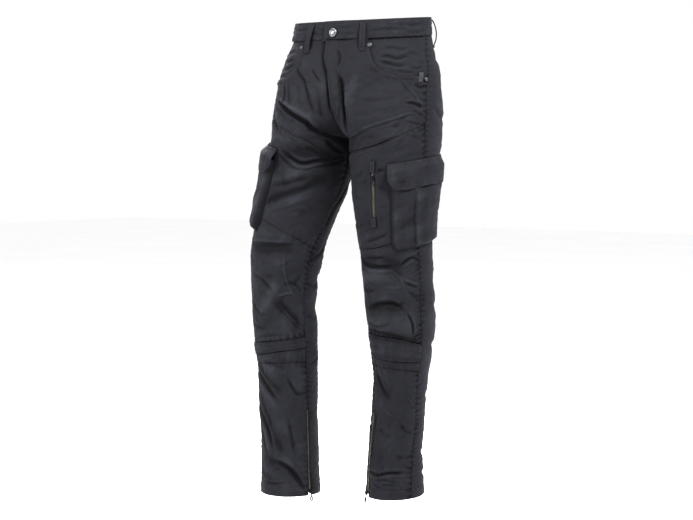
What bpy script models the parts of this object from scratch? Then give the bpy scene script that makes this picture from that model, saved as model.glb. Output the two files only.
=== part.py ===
"""Motorcycle trousers in the hollow shape they take when worn, with no wearer in them.

Frame: metres, +Z up, the wearer faces -Y, +X is the wearer's left, and the origin is the centre of the
waistband at half its height, where the wearer's waist holds the garment.

The cloth follows one surface, S(side, w, z).  w runs round each leg: 0 at the centre front or the inner-leg
seam, 1 at the outside seam, 2 at the centre back or the inner-leg seam again.  Every panel is a grid of points
of that surface between two seams, given its thickness by Solidify.  What lies on a panel is made from the same
points, moved out.
"""
import math

import bmesh
import bpy
import numpy as np
from mathutils import Matrix, Vector

# ---------------------------------------------------------------- driving sizes, metres
CLOTH = 0.0016              # twill with its seam allowance, as a wall
BAND_CLOTH = 0.0028         # folded waistband
SEAM_GAP = 0.0005           # between the middles of two walls that are sewn together, 0.3 or more at their inner edges
Z_TOP, Z_WAIST_SEAM = 0.020, -0.020
Z_FORK, Z_HEM = -0.245, -1.043
THIGH_IN = 0.103            # from the centre to the middle of each thigh, at the fork
LEAN_X, LEAN_Y = -0.005, 0.085      # how far the waist stands up to the side and to the back
LIFT = 0.0031               # middle of a piece that lies on a panel, above the middle of that panel
FLY_LIFT = 0.0026           # left front over right front
OVERLAP_LIFT = 0.0036       # left end of the waistband over its right end
LOOP_WIDTH = 0.0135
CHAIN_WIDTH = 0.0044        # zip teeth
ZIP_SLOT = 0.0056           # opening the teeth show in
HEM_ZIP_TOP = -0.846
SIDES = {"L": 1.0, "R": -1.0}


def table(names, rows):
    """A short table: the columns by name, the rows as given."""
    return dict(zip(names.split(), np.array(rows, float).T))


# One row for each level of the hips.  along is the centre's place from front to back, turn is how far the hips
# are turned (degrees, right hip forward), rise_* is how far up the centre seam the level reaches.
HIP = table(
    "z      across   along   turn  half_w  front  back   rise_f rise_b out_turn", [
    (0.020, -0.002, -0.001,  3,   0.160,  0.117, 0.119,  1.00,  1.00,  0),
    (-0.020, -0.004, -0.004, 4,   0.165,  0.120, 0.122,  1.00,  1.00,  1),
    (-0.060, -0.007, -0.009, 6,   0.177,  0.125, 0.132,  1.00,  1.00,  7),
    (-0.110, -0.006, -0.013, 9,   0.189,  0.129, 0.141,  0.99,  1.00, 13),
    (-0.160, -0.006, -0.016, 10,  0.194,  0.130, 0.142,  0.94,  0.97, 19),
    (-0.195, -0.007, -0.017, 10,  0.196,  0.130, 0.140,  0.83,  0.88, 20),
    (-0.220, -0.008, -0.018, 10,  0.195,  0.127, 0.135,  0.66,  0.72, 21),
    (-0.236, -0.008, -0.018, 10,  0.194,  0.124, 0.130,  0.42,  0.47, 21),
    (-0.245, -0.009, -0.018, 10,  0.193,  0.123, 0.128,  0.00,  0.00, 21),
])

# One row for each level of a leg: its centre, how far it is turned, its half widths, how far the inner-leg seam
# and the outside seam stand forward (degrees), and how much the level slopes up to the back.
LEG_COLUMNS = "z across along turn half_w front back in_turn out_turn slope"
LEG = {
    "L": table(LEG_COLUMNS, [
        (-0.300, 0.089, -0.010, 9, 0.092, 0.108, 0.112, 2, 20, 0.00),
        (-0.350, 0.092, -0.014, 8, 0.090, 0.102, 0.104, 5, 19, 0.01),
        (-0.420, 0.095, -0.019, 6, 0.082, 0.091, 0.093, 9, 18, 0.02),
        (-0.500, 0.101, -0.018, 4, 0.077, 0.083, 0.085, 14, 19, 0.03),
        (-0.600, 0.107, -0.012, 2, 0.076, 0.078, 0.082, 24, 21, 0.04),
        (-0.690, 0.098, 0.010, 0, 0.070, 0.072, 0.076, 38, 18, 0.05),
        (-0.780, 0.084, 0.025, 0, 0.060, 0.062, 0.066, 50, 17, 0.06),
        (-0.870, 0.069, 0.036, 0, 0.059, 0.060, 0.062, 56, 15, 0.06),
        (-0.960, 0.060, 0.040, 0, 0.061, 0.063, 0.063, 56, 17, 0.06),
        (Z_HEM, 0.058, 0.042, 0, 0.065, 0.067, 0.067, 56, 22, 0.06),
    ]),
    "R": table(LEG_COLUMNS, [
        (-0.300, -0.118, -0.040, 9, 0.096, 0.108, 0.112, 2, 20, 0.00),
        (-0.350, -0.128, -0.044, 8, 0.095, 0.102, 0.104, 6, 19, 0.00),
        (-0.420, -0.149, -0.053, 6, 0.088, 0.093, 0.095, 9, 18, 0.00),
        (-0.500, -0.167, -0.064, 3, 0.081, 0.085, 0.087, 14, 19, 0.00),
        (-0.600, -0.170, -0.071, 0, 0.072, 0.075, 0.077, 15, 21, 0.00),
        (-0.690, -0.164, -0.074, 0, 0.070, 0.072, 0.074, 14, 20, 0.00),
        (-0.780, -0.156, -0.076, 0, 0.066, 0.068, 0.070, 13, 20, 0.00),
        (-0.870, -0.153, -0.077, 0, 0.065, 0.067, 0.068, 12, 20, 0.00),
        (-0.960, -0.150, -0.076, 0, 0.064, 0.066, 0.066, 12, 20, 0.00),
        (Z_HEM, -0.149, -0.076, 0, 0.067, 0.068, 0.068, 12, 20, 0.00),
    ]),
}

# Seams across the front of each leg: height against w.
SEAM = {
    ("L", "thigh"): table("w z", [(0, -0.290), (0.30, -0.272), (0.45, -0.266), (0.62, -0.254), (0.82, -0.230), (1, -0.212)]),
    ("R", "thigh"): table("w z", [(0, -0.290), (0.25, -0.277), (0.40, -0.252), (0.55, -0.228), (0.82, -0.205), (1, -0.196)]),
    ("L", "above_knee"): table("w z", [(0, -0.492), (0.28, -0.482), (0.50, -0.478), (0.70, -0.467), (1, -0.445)]),
    ("R", "above_knee"): table("w z", [(0, -0.488), (0.35, -0.453), (0.70, -0.421), (1, -0.410)]),
    ("L", "band_top"): table("w z", [(0, -0.668), (0.39, -0.672), (0.68, -0.678), (1, -0.692)]),
    ("R", "band_top"): table("w z", [(0, -0.686), (0.33, -0.693), (0.78, -0.701), (1, -0.703)]),
    ("L", "band_bottom"): table("w z", [(0, -0.716), (0.36, -0.722), (0.75, -0.727), (1, -0.730)]),
    ("R", "band_bottom"): table("w z", [(0, -0.709), (0.34, -0.715), (0.74, -0.727), (1, -0.730)]),
    ("L", "strip_bottom"): table("w z", [(0, -0.740), (0.31, -0.742), (0.66, -0.747), (1, -0.754)]),
    ("R", "strip_bottom"): table("w z", [(0, -0.742), (0.29, -0.743), (0.65, -0.746), (1, -0.750)]),
}
# Rows of cloth down the hips, closer where the seat turns under to the fork, and the one that ends at the fork.
HIP_STEPS = (0, 1/12, 2/12, 3/12, 4/12, 5/12, 6/12, 7/12, 0.66, 0.725, 0.775, 0.81, 0.8278, 10/12, 0.885, 0.94, 1)
FORK_ROW = HIP_STEPS.index(10/12)
STACK = [  # upper seam, lower seam, rows of cloth between them
    ("waist", "thigh", HIP_STEPS), ("thigh", "above_knee", 8), ("above_knee", "band_top", 8),
    ("band_top", "band_bottom", 2), ("band_bottom", "strip_bottom", 1), ("strip_bottom", "hem", 11),
]
FRONT_W = (0, 0.11, 0.22, 0.33, 0.38, 0.45, 0.55, 0.66, 0.78, 0.89, 1.0)
BACK_COLUMNS, INNER_COLUMNS = 8, 2
POCKET_MOUTH = table("w z", [(0.33, -0.020), (0.38, -0.062), (0.45, -0.083), (0.55, -0.098), (0.66, -0.104), (0.82, -0.106), (1, -0.108)])
INNER_SHARE = table("z share", [(Z_FORK, 0.012), (-0.268, 0.05), (-0.290, 0.09), (-0.350, 0.16), (-0.450, 0.24), (-0.600, 0.27), (Z_HEM, 0.27)])
FLY_EDGE = table("z w", [(-0.020, 0.055), (-0.060, 0.056), (-0.100, 0.056), (-0.134, 0.046), (-0.160, 0.034), (-0.178, 0.022)])

# The largest folds: a trough (depth below zero) or ridge from one place to another, with its half width.
FOLDS = {
    "L": table("depth width w1 z1 w2 z2", [
        (-0.006, 0.016, 0.15, -0.105, 0.19, -0.215),
        (-0.005, 0.018, 0.20, -0.506, 0.74, -0.518),
        (0.005, 0.020, 0.24, -0.545, 0.62, -0.520),
        (-0.006, 0.018, 0.26, -0.608, 0.76, -0.602),
        (-0.005, 0.016, 0.12, -0.664, 0.96, -0.684),
        (-0.004, 0.020, 0.12, -0.756, 0.42, -0.815),
        (-0.007, 0.018, 1.15, -0.560, 1.75, -0.545),
        (-0.007, 0.018, 1.25, -0.615, 1.85, -0.600),
        (-0.006, 0.020, 1.10, -0.700, 1.60, -0.730),
        (-0.005, 0.020, 1.45, -0.290, 1.90, -0.262),
        (-0.005, 0.020, 1.20, -0.940, 1.80, -0.975),
    ]),
    "R": table("depth width w1 z1 w2 z2", [
        (-0.007, 0.016, 0.80, -0.162, 0.14, -0.238),
        (-0.005, 0.018, 0.60, -0.272, 0.16, -0.285),
        (-0.005, 0.018, 0.80, -0.390, 0.22, -0.332),
        (-0.004, 0.018, 0.83, -0.487, 0.20, -0.488),
        (0.005, 0.020, 0.35, -0.560, 0.55, -0.640),
        (-0.005, 0.016, 0.32, -0.606, 0.04, -0.662),
        (-0.005, 0.018, 0.72, -0.756, 0.38, -0.812),
        (-0.006, 0.018, 0.74, -0.815, 0.39, -0.945),
        (-0.005, 0.016, 0.60, -0.960, 0.12, -1.005),
        (-0.007, 0.018, 1.20, -0.545, 1.80, -0.560),
        (-0.007, 0.018, 1.20, -0.610, 1.80, -0.625),
        (-0.005, 0.020, 1.40, -0.285, 1.90, -0.265),
        (-0.005, 0.020, 1.20, -0.900, 1.75, -0.870),
    ]),
}
W_LENGTH = 0.235            # metres of cloth to one step of w, for measuring a fold's width

# Cargo pockets: between two values of w and two heights.  The right one sits higher on the lifted thigh.
CARGO = {"L": dict(raised=0.0, bulge=0.0085), "R": dict(raised=0.035, bulge=0.0110)}
CARGO_W = (0.70, 1.24)
CARGO_BODY_Z = (-0.312, -0.475)
CARGO_FLAP_Z = (-0.286, -0.344)
CARGO_SLOPE = 0.041         # the pocket stands higher at the back, metres to one step of w

LOOPS = [("L", 0.285, 0.004), ("L", 1.26, 0.008), ("R", 0.245, 0.004), ("R", 1.26, 0.008), ("L", 2.0, 0.007)]
RIVETS = [("L", 0.352, -0.034), ("L", 0.965, -0.1145), ("R", 0.352, -0.034), ("R", 0.965, -0.1145)]
THIGH_ZIP = dict(w_top=0.560, z_top=-0.291, w_bottom=0.533, z_bottom=-0.433, slot_top=-0.316, slot_bottom=-0.410, slider=-0.323)

COLOURS = {  # base colour, roughness, metallic
    "cloth": ((0.030, 0.031, 0.037), 0.85, 0.0),
    "steel": ((0.72, 0.73, 0.75), 0.25, 1.0),
    "dark_metal": ((0.035, 0.035, 0.04), 0.35, 1.0),
    "zip_metal": ((0.20, 0.20, 0.21), 0.35, 1.0),
    "tag": ((0.05, 0.05, 0.055), 0.6, 0.0),
}

# ---------------------------------------------------------------- the cloth's surface


def smoothstep(t):
    t = np.clip(t, 0.0, 1.0)
    return t * t * (3 - 2 * t)


def curve_through(xs, ys, x):
    """A smooth curve through the points, with no overshoot between them (Fritsch and Carlson)."""
    order = np.argsort(xs)
    xs, ys = np.asarray(xs, float)[order], np.asarray(ys, float)[order]
    x = np.clip(np.asarray(x, float), xs[0], xs[-1])
    h = np.diff(xs)
    d = np.diff(ys) / h
    total = d[:-1] + d[1:]
    inner = np.where(d[:-1] * d[1:] > 0, 2 * d[:-1] * d[1:] / np.where(np.abs(total) < 1e-12, 1, total), 0.0)
    m = np.concatenate([[d[0]], inner, [d[-1]]])
    i = np.clip(np.searchsorted(xs, x) - 1, 0, len(xs) - 2)
    t = (x - xs[i]) / h[i]
    return ((2 * t**3 - 3 * t**2 + 1) * ys[i] + (t**3 - 2 * t**2 + t) * h[i] * m[i]
            + (3 * t**2 - 2 * t**3) * ys[i + 1] + (t**3 - t**2) * h[i] * m[i + 1])


def leg_levels(side):
    """Hips and leg as one table: at the hips, each half's own centre moves out from the middle as the rise falls away."""
    sign, levels = SIDES[side], []
    for k in range(len(HIP["z"])):
        row = {name: values[k] for name, values in HIP.items()}
        share = max(row["rise_f"], row["rise_b"])
        own = THIGH_IN * math.sqrt(max(0.0, 1 - share * share))
        turn = math.radians(row["turn"])
        levels.append((row["z"], row["across"] + sign * own * math.cos(turn), row["along"] + sign * own * math.sin(turn), row["turn"],
                       row["half_w"] - own, THIGH_IN, row["front"], row["back"], row["rise_f"], row["rise_b"], 0.0, row["out_turn"], 0.0))
    leg = LEG[side]
    for k in range(len(leg["z"])):
        row = {name: values[k] for name, values in leg.items()}
        levels.append((row["z"], row["across"], row["along"], row["turn"], row["half_w"], row["half_w"], row["front"], row["back"],
                       0.0, 0.0, row["in_turn"], row["out_turn"], row["slope"]))
    return table("z across along turn out_w in_w front back rise_f rise_b in_turn out_turn slope", levels)


LEVELS = {side: leg_levels(side) for side in SIDES}


def one_side(side, w, z):
    at = {name: curve_through(LEVELS[side]["z"], values, z) for name, values in LEVELS[side].items() if name != "z"}
    end_front = math.pi - np.arcsin(np.clip(at["rise_f"], 0, 1)) - np.radians(at["in_turn"])
    end_back = math.pi - np.arcsin(np.clip(at["rise_b"], 0, 1)) + np.radians(at["in_turn"])
    seam = -np.radians(at["out_turn"])
    angle = np.where(w <= 1, -end_front + (seam + end_front) * w, seam + (end_back - seam) * (w - 1))
    across = SIDES[side] * np.where(np.cos(angle) > 0, at["out_w"], at["in_w"]) * np.cos(angle)
    along = np.where(np.sin(angle) > 0, at["back"], at["front"]) * np.sin(angle)
    turn = np.radians(at["turn"])
    dx = across * np.cos(turn) - along * np.sin(turn)
    dy = across * np.sin(turn) + along * np.cos(turn)
    return np.stack([at["across"] + dx, at["along"] + dy, z + at["slope"] * dy], -1)


def S(side, w, z):
    """The smooth cloth surface; both halves end on one line down the centre front and the centre back."""
    w, z = np.broadcast_arrays(np.asarray(w, float), np.asarray(z, float))
    p = one_side(side, w, z)
    for edge in (0.0, 2.0):
        left, right = (one_side(s, np.full_like(z, edge), z) for s in ("L", "R"))
        own = left if side == "L" else right
        share = smoothstep(1 - np.abs(w - edge) / 0.45) * (z >= Z_FORK - 1e-6)
        p = p + ((left + right) / 2 - own) * share[..., None]
        # room for both walls where the centre seam turns under and the legs part
        room = 0.0007 * smoothstep((-0.150 - z) / 0.030) * (z >= Z_FORK - 1e-6) + 0.0006 * np.exp(-((z - Z_FORK) / 0.012) ** 2)
        p[..., 0] += SIDES[side] * room * smoothstep(1 - np.abs(w - edge) / 0.15)
    lean = smoothstep((p[..., 2] - Z_FORK) / (Z_WAIST_SEAM - Z_FORK))
    p[..., 2] += lean * (LEAN_X * p[..., 0] + LEAN_Y * p[..., 1])
    return p


def unit_rows(n):
    return n / np.maximum(np.linalg.norm(n, axis=-1, keepdims=True), 1e-12)


def own_outward(side, w, z):
    e = 2e-3
    du = S(side, np.minimum(w + e, 2), z) - S(side, np.maximum(w - e, 0), z)
    dz = S(side, w, z + 5e-4) - S(side, w, z - 5e-4)
    return unit_rows(np.cross(du, dz) * SIDES[side])


def outward(side, w, z):
    """Unit vector out of the cloth; the two halves share one along the centre front and the centre back."""
    w, z = np.broadcast_arrays(np.asarray(w, float), np.asarray(z, float))
    n = own_outward(side, w, z)
    for edge in (0.0, 2.0):
        other = own_outward("R" if side == "L" else "L", np.full_like(z, edge), z)
        share = 0.5 * smoothstep(1 - np.abs(w - edge) / 0.12) * (z >= Z_FORK - 1e-6)
        n = n + (other - n) * share[..., None]
    return unit_rows(n)


def folds(side, w, z):
    out = np.zeros(np.broadcast(w, z).shape)
    f = FOLDS[side]
    for depth, width, w1, z1, w2, z2 in zip(*(f[n] for n in ("depth", "width", "w1", "z1", "w2", "z2"))):
        ax, ay = (w2 - w1) * W_LENGTH, z2 - z1
        px, py = (w - w1) * W_LENGTH, z - z1
        length = math.hypot(ax, ay)
        t = (px * ax + py * ay) / length**2
        away = np.abs(px * ay - py * ax) / length
        ends = smoothstep((t + 0.25) / 0.45) * smoothstep((1.25 - t) / 0.45)
        out += depth * np.exp(-(away / width) ** 2) * ends
    # nothing moves at the seams that several pieces share
    return out * smoothstep(w / 0.10) * smoothstep(np.abs(w - 1) / 0.10) * smoothstep((2 - w) / 0.10)


def on_cloth(side, w, z, lift=0.0, folded=True):
    w, z, lift = np.broadcast_arrays(np.asarray(w, float), np.asarray(z, float), np.asarray(lift, float))
    moved = lift + (folds(side, w, z) if folded else 0.0)
    return S(side, w, z) + outward(side, w, z) * moved[..., None]


def seam_z(side, name, w):
    if name in ("waist", "hem"):
        return np.full(np.shape(w), Z_WAIST_SEAM if name == "waist" else Z_HEM)
    s = SEAM[side, name]
    front = curve_through(s["w"], s["z"], np.minimum(w, 1))
    return np.where(np.asarray(w) <= 1, front, s["z"][-1] + (s["z"][0] - s["z"][-1]) * smoothstep((np.asarray(w) - 1) / 0.42))


def row_z(side, upper, lower, t, w):
    return (1 - t) * seam_z(side, upper, w) + t * seam_z(side, lower, w)


def fly_lift(side, w, z):
    """The left front lies over the right front as far down as the fly reaches."""
    if side == "R":
        return np.zeros(np.broadcast(w, z).shape)
    return FLY_LIFT * smoothstep(1 - w / 0.16) * smoothstep((z + 0.212) / 0.030)


# ---------------------------------------------------------------- making objects

for old in list(bpy.data.objects):
    bpy.data.objects.remove(old, do_unlink=True)
garment = bpy.data.collections.new("motorcycle_trousers")
cutters = bpy.data.collections.new("cutters")
bpy.context.scene.collection.children.link(garment)
bpy.context.scene.collection.children.link(cutters)


def material(kind, name):
    base, rough, metal = COLOURS[kind]
    m = bpy.data.materials.new(name)
    m.use_nodes = True
    b = m.node_tree.nodes["Principled BSDF"]
    b.inputs["Base Color"].default_value = (*base, 1)
    b.inputs["Roughness"].default_value = rough
    b.inputs["Metallic"].default_value = metal
    return m


def add(name, mesh, kind="cloth", where=None):
    o = bpy.data.objects.new(name, mesh)
    (where or garment).objects.link(o)
    if where is None:
        mesh.materials.append(material(kind, name + "_finish"))
    else:
        o.hide_render, o.display_type = True, "WIRE"
    return o


def shrink(p, amount, sides):
    """Draw the grid's edges in along the cloth by amount; sides is any of left, right, top, bottom."""
    q = p.copy()
    for label, edge, inner in (("left", (slice(None), 0), (slice(None), 1)), ("right", (slice(None), -1), (slice(None), -2)),
                               ("top", (0,), (1,)), ("bottom", (-1,), (-2,))):
        if label in sides:
            d = p[inner] - p[edge]
            q[edge] += d / np.linalg.norm(d, axis=-1, keepdims=True) * amount
    return q


def wall(name, p, thickness=CLOTH, kind="cloth", where=None, away=None):
    """A cloth wall: the grid of points p as an open surface, made solid to both sides of it."""
    rows, cols = p.shape[:2]
    bm = bmesh.new()
    v = [[bm.verts.new(p[i, j]) for j in range(cols)] for i in range(rows)]
    for i in range(rows - 1):
        for j in range(cols - 1):
            bm.faces.new((v[i][j], v[i][j + 1], v[i + 1][j + 1], v[i + 1][j]))
    bm.normal_update()
    bm.faces.ensure_lookup_table()
    middle = bm.faces[len(bm.faces) // 2]
    if middle.normal.dot(Vector(away)) < 0:
        bmesh.ops.reverse_faces(bm, faces=bm.faces)
    mesh = bpy.data.meshes.new(name)
    bm.to_mesh(mesh)
    bm.free()
    mesh.shade_smooth()
    o = add(name, mesh, kind, where)
    s = o.modifiers.new("thickness", "SOLIDIFY")
    s.thickness, s.offset = thickness, 0.0
    return o


def panel(name, side, ws_of, stack, lift=None, rows=None):
    """A panel between the first seam and the last of stack.  ws_of(upper, lower, t) gives the row's values of w."""
    points = []
    first = True
    for upper, lower, n in stack:
        for t in n if isinstance(n, tuple) else np.linspace(0, 1, n + 1):
            if t == 0 and not first:
                continue
            w = ws_of(upper, lower, t)
            z = row_z(side, upper, lower, t, w)
            points.append(on_cloth(side, w, z, 0.0 if lift is None else lift(w, z)))
        first = False
    p = np.array(points)
    if rows:
        p = p[rows]
    p = shrink(p, SEAM_GAP / 2, ("left", "right", "top", "bottom"))
    i, j = (p.shape[0] - 1) // 2, (p.shape[1] - 1) // 2
    w = ws_of(*stack[len(stack) // 2][:2], 0.5)
    centre = on_cloth(side, w.mean(), row_z(side, *stack[len(stack) // 2][:2], 0.5, np.array(w.mean())))
    flat = np.cross(p[i, j + 1] - p[i, j], p[i + 1, j] - p[i, j])
    return wall(name, p, away=-flat * SIDES[side])


def inner_w(side, z):
    """w of the seam between the back and the inner-leg panel."""
    return 2 - curve_through(INNER_SHARE["z"], INNER_SHARE["share"], z) * (z <= Z_FORK + 4e-4)


def step_of_w(side, w, z, metres):
    """The step of w that measures so many metres round the cloth, at w, on the side of it that stays in 0 to 2."""
    w2 = w + 0.02 if w < 1.5 else w - 0.02
    return metres * 0.02 / float(np.linalg.norm(S(side, w2, z) - S(side, w, z)))


def zip_room(side, w, z):
    """Half the opening of the hem zip, as a step of w."""
    return step_of_w(side, w, z, ZIP_SLOT / 2) if z < HEM_ZIP_TOP else 0.0


def front_columns(side):
    def ws(upper, lower, t):
        z0 = row_z(side, upper, lower, t, np.array(0.0))
        w = np.array(FRONT_W, float)
        w[0] += zip_room(side, 0.0, float(z0))
        return w
    return ws


def back_columns(side):
    def ws(upper, lower, t):
        edge = 2.0
        for _ in range(4):
            edge = float(inner_w(side, row_z(side, upper, lower, t, np.array(edge))))
        return np.linspace(1.0, edge, BACK_COLUMNS + 1)
    return ws


def inner_columns(side):
    back = back_columns(side)

    def ws(upper, lower, t):
        z0 = row_z(side, upper, lower, t, np.array(2.0))
        return np.linspace(back(upper, lower, t)[-1], 2.0 - zip_room(side, 2.0, float(z0)), INNER_COLUMNS + 1)
    return ws


# ---------------------------------------------------------------- cloth panels
for side in SIDES:
    # front of the hip, cut away along the curved pocket mouth
    columns = np.array(FRONT_W)
    top = np.where(columns < 0.34, Z_WAIST_SEAM, curve_through(POCKET_MOUTH["w"], POCKET_MOUTH["z"], columns))
    points = []
    for t in HIP_STEPS:
        z = row_z(side, "waist", "thigh", t, columns)
        # rows between the pocket mouth and the thigh seam, plain rows nearer the centre
        low = seam_z(side, "thigh", columns)
        z = np.where(columns < 0.34, z, top + (low - top) * t)
        points.append(on_cloth(side, columns, z, fly_lift(side, columns, z)))
    p = shrink(np.array(points), SEAM_GAP / 2, ("left", "right", "top", "bottom"))
    wall("hip_front_" + side, p, away=outward(side, 0.55, -0.16))

    # the hip cloth seen in the pocket mouth; it goes on behind the front
    columns = np.array([w for w in FRONT_W if w >= 0.33])
    low = curve_through(POCKET_MOUTH["w"], POCKET_MOUTH["z"], columns) - 0.014
    p = np.array([on_cloth(side, columns, Z_WAIST_SEAM - 0.0004 + (low - Z_WAIST_SEAM) * t, -0.0030) for t in np.linspace(0, 1, 5)])
    p = shrink(p, 0.0012, ("left", "right"))
    wall("pocket_facing_" + side, p, away=outward(side, 0.66, -0.06))

    panel("thigh_front_" + side, side, front_columns(side), STACK[1:2])
    panel("knee_front_" + side, side, front_columns(side), STACK[2:3])
    panel("knee_band_" + side, side, front_columns(side), STACK[3:4])
    panel("knee_strip_" + side, side, front_columns(side), STACK[4:5])
    panel("shin_front_" + side, side, front_columns(side), STACK[5:6])
    panel("back_" + side, side, back_columns(side), STACK)
    panel("inner_panel_" + side, side, inner_columns(side), STACK, rows=slice(FORK_ROW, None))

# left front's edge over the right front
rows = Z_WAIST_SEAM - 0.0225 * np.arange(8)       # the rows of the left front's own edge
edge = curve_through(FLY_EDGE["z"], FLY_EDGE["w"], rows)
p = np.array([on_cloth("R", np.array([0.0, e / 2, e]), np.full(3, z), FLY_LIFT) for z, e in zip(rows, edge)])
p = shrink(p, SEAM_GAP / 2, ("left", "top"))
wall("fly_edge", p, away=outward("R", 0.03, -0.1))

# ---------------------------------------------------------------- waistband: one strip, its left end over its right end
band = [("R", w, OVERLAP_LIFT) for w in (0.075, 0.04)]
for w in (0.0, 0.05, 0.10, 0.15, 0.20, 0.26, 0.33, 0.42, 0.52, 0.63, 0.75, 0.87):
    band.append(("L", w, OVERLAP_LIFT * float(smoothstep((0.26 - w) / 0.16))))
band += [("L", w, 0.0) for w in (1.0, 1.12, 1.25, 1.38, 1.5, 1.62, 1.75, 1.87)]
band += [("R", w, 0.0) for w in (2.0, 1.87, 1.75, 1.62, 1.5, 1.38, 1.25, 1.12, 1.0, 0.87, 0.75, 0.63, 0.52, 0.42, 0.33, 0.26, 0.2, 0.15, 0.10, 0.05)]
band += [("L", w, 0.0) for w in (0.0, 0.05, 0.095)]
BAND_OUT = 0.0008
points = []
for z in np.linspace(Z_WAIST_SEAM, Z_TOP, 3):
    points.append([on_cloth(s, w, z, BAND_OUT + lift, folded=False) for s, w, lift in band])
p = shrink(np.array(points), SEAM_GAP / 2, ("top",))
wall("waistband", p, thickness=BAND_CLOTH, away=p[1, 10] - np.array([0, 0, p[1, 10][2]]))

# ---------------------------------------------------------------- belt loops
for number, (side, w, stand) in enumerate(LOOPS, 1):
    half = LOOP_WIDTH / 2 / 0.26
    rows = np.linspace(0.013, -0.047, 9)
    on_band = BAND_OUT + BAND_CLOTH / 2 + 0.0013
    on_hip = CLOTH / 2 + 0.0014
    points = []
    for z in rows:
        t = (0.013 - z) / 0.060
        rest = on_band + (on_hip - on_band) * float(smoothstep((t - 0.70) / 0.20))
        up = stand * float(smoothstep(t / 0.16) * smoothstep((0.90 - t) / 0.16))
        lift = rest + up
        if w == 2.0:
            row = [on_cloth("L", 2 - half, z, lift, False), on_cloth("L", 2.0, z, lift, False), on_cloth("R", 2 - half, z, lift, False)]
        else:
            row = [on_cloth(side, w + k * half, z, lift, False) for k in (-1, 0, 1)]
        points.append(row)
    wall("belt_loop_%d" % number, np.array(points), away=outward(side, min(w, 1.99), -0.01))

# ---------------------------------------------------------------- cargo pockets
for side, c in CARGO.items():
    up, bulge = c["raised"], c["bulge"]
    ws = np.array([CARGO_W[0], 0.735, 0.80, 0.87, 0.94, 1.01, 1.07, 1.12, 1.17, 1.21, CARGO_W[1]])
    zs = np.array([CARGO_BODY_Z[0], -0.345, -0.370, -0.395, -0.420, -0.445, -0.467, CARGO_BODY_Z[1]])
    points = []
    for z in zs:
        row_w = ws.copy()
        # both lower corners are cut off
        cut = float(np.clip((-0.455 - z) / 0.023, 0, 1))
        row_w = CARGO_W[0] + 0.055 * cut + (row_w - CARGO_W[0]) * (1 - 0.055 * cut / 0.54 * 1.6)
        edge = np.minimum((row_w - row_w[0]) * W_LENGTH, (row_w[-1] - row_w) * 0.30)
        side_drop = smoothstep(edge / 0.016)
        low_drop = smoothstep((z - CARGO_BODY_Z[1]) / 0.016)
        lift = LIFT + bulge * side_drop * low_drop
        points.append(on_cloth(side, row_w, z + up + CARGO_SLOPE * (row_w - 1.0), lift, folded=False))
    wall("cargo_body_" + side, np.array(points), away=outward(side, 0.97, -0.4))

    ws = np.linspace(CARGO_W[0] - 0.018, CARGO_W[1] + 0.018, 12)
    points = []
    for t in (0.0, 0.18, 0.38, 0.6, 0.82, 1.0):
        z = CARGO_FLAP_Z[0] + (CARGO_FLAP_Z[1] - CARGO_FLAP_Z[0]) * t
        row_w = ws.copy()
        corner = float(np.clip((t - 0.62) / 0.38, 0, 1)) ** 1.3 * 0.060
        row_w = 0.97 + (row_w - 0.97) * (1 - corner / 0.288)
        lift = LIFT + (bulge + 0.0030) * float(smoothstep(t / 0.38))
        points.append(on_cloth(side, row_w, z + up + CARGO_SLOPE * (row_w - 1.0), lift, folded=False))
    wall("cargo_flap_" + side, np.array(points), away=outward(side, 0.97, -0.33))

# ---------------------------------------------------------------- zips


def mesh_of(o):
    """The object's evaluated mesh, welded, in place of the object."""
    bpy.context.view_layer.update()
    got = bpy.data.meshes.new_from_object(o.evaluated_get(bpy.context.evaluated_depsgraph_get()))
    bm = bmesh.new()
    bm.from_mesh(got)
    bmesh.ops.remove_doubles(bm, verts=bm.verts, dist=1e-6)
    bmesh.ops.recalc_face_normals(bm, faces=bm.faces)
    bm.to_mesh(got)
    bm.free()
    bpy.data.objects.remove(o, do_unlink=True)
    return got


def plate(name, outlines, thickness):
    """A flat plate in its own X and Y, cut out along closed outlines, in the middle of its thickness."""
    c = bpy.data.curves.new(name, "CURVE")
    c.dimensions, c.fill_mode, c.extrude = "2D", "BOTH", thickness / 2
    for outline in outlines:
        s = c.splines.new("POLY")
        s.points.add(len(outline) - 1)
        for point, (x, y) in zip(s.points, outline):
            point.co = (x, y, 0, 1)
        s.use_cyclic_u = True
    o = bpy.data.objects.new(name + "_outline", c)
    garment.objects.link(o)
    return mesh_of(o)


def arc(cx, cy, r, start, end, n):
    return [(cx + r * math.cos(math.radians(start + (end - start) * k / n)), cy + r * math.sin(math.radians(start + (end - start) * k / n))) for k in range(n + 1)]


def frame_at(side, w, z, lift):
    """A place on the cloth: X across it, Y up along it, Z out of it."""
    origin = Vector(on_cloth(side, w, z, lift, folded=False))
    out = Vector(outward(side, w, z))
    up = Vector(S(side, w, z + 0.002) - S(side, w, z - 0.002))
    up = (up - out * up.dot(out)).normalized()
    across = up.cross(out).normalized()
    return Matrix.Translation(origin) @ Matrix((across, up, out)).transposed().to_4x4()


def chain(name, side, path, folded):
    """The closed zip's teeth as one strip, flush with the cloth; path gives w and z."""
    points = []
    for w, z in path:
        half = step_of_w(side, w, z, CHAIN_WIDTH / 2)
        before = 2 - step_of_w(side, 2.0, z, CHAIN_WIDTH / 2) if w == 0 else w - half
        row = [on_cloth(side, before, z, 0, folded), on_cloth(side, w + half, z, 0, folded)]
        points.append(row)
    w, z = path[len(path) // 2]
    return wall(name, np.array(points), kind="zip_metal", away=outward(side, w, z))


AXIS_LIFT = 0.0050          # height of the pull's hinge above the cloth's middle


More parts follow.
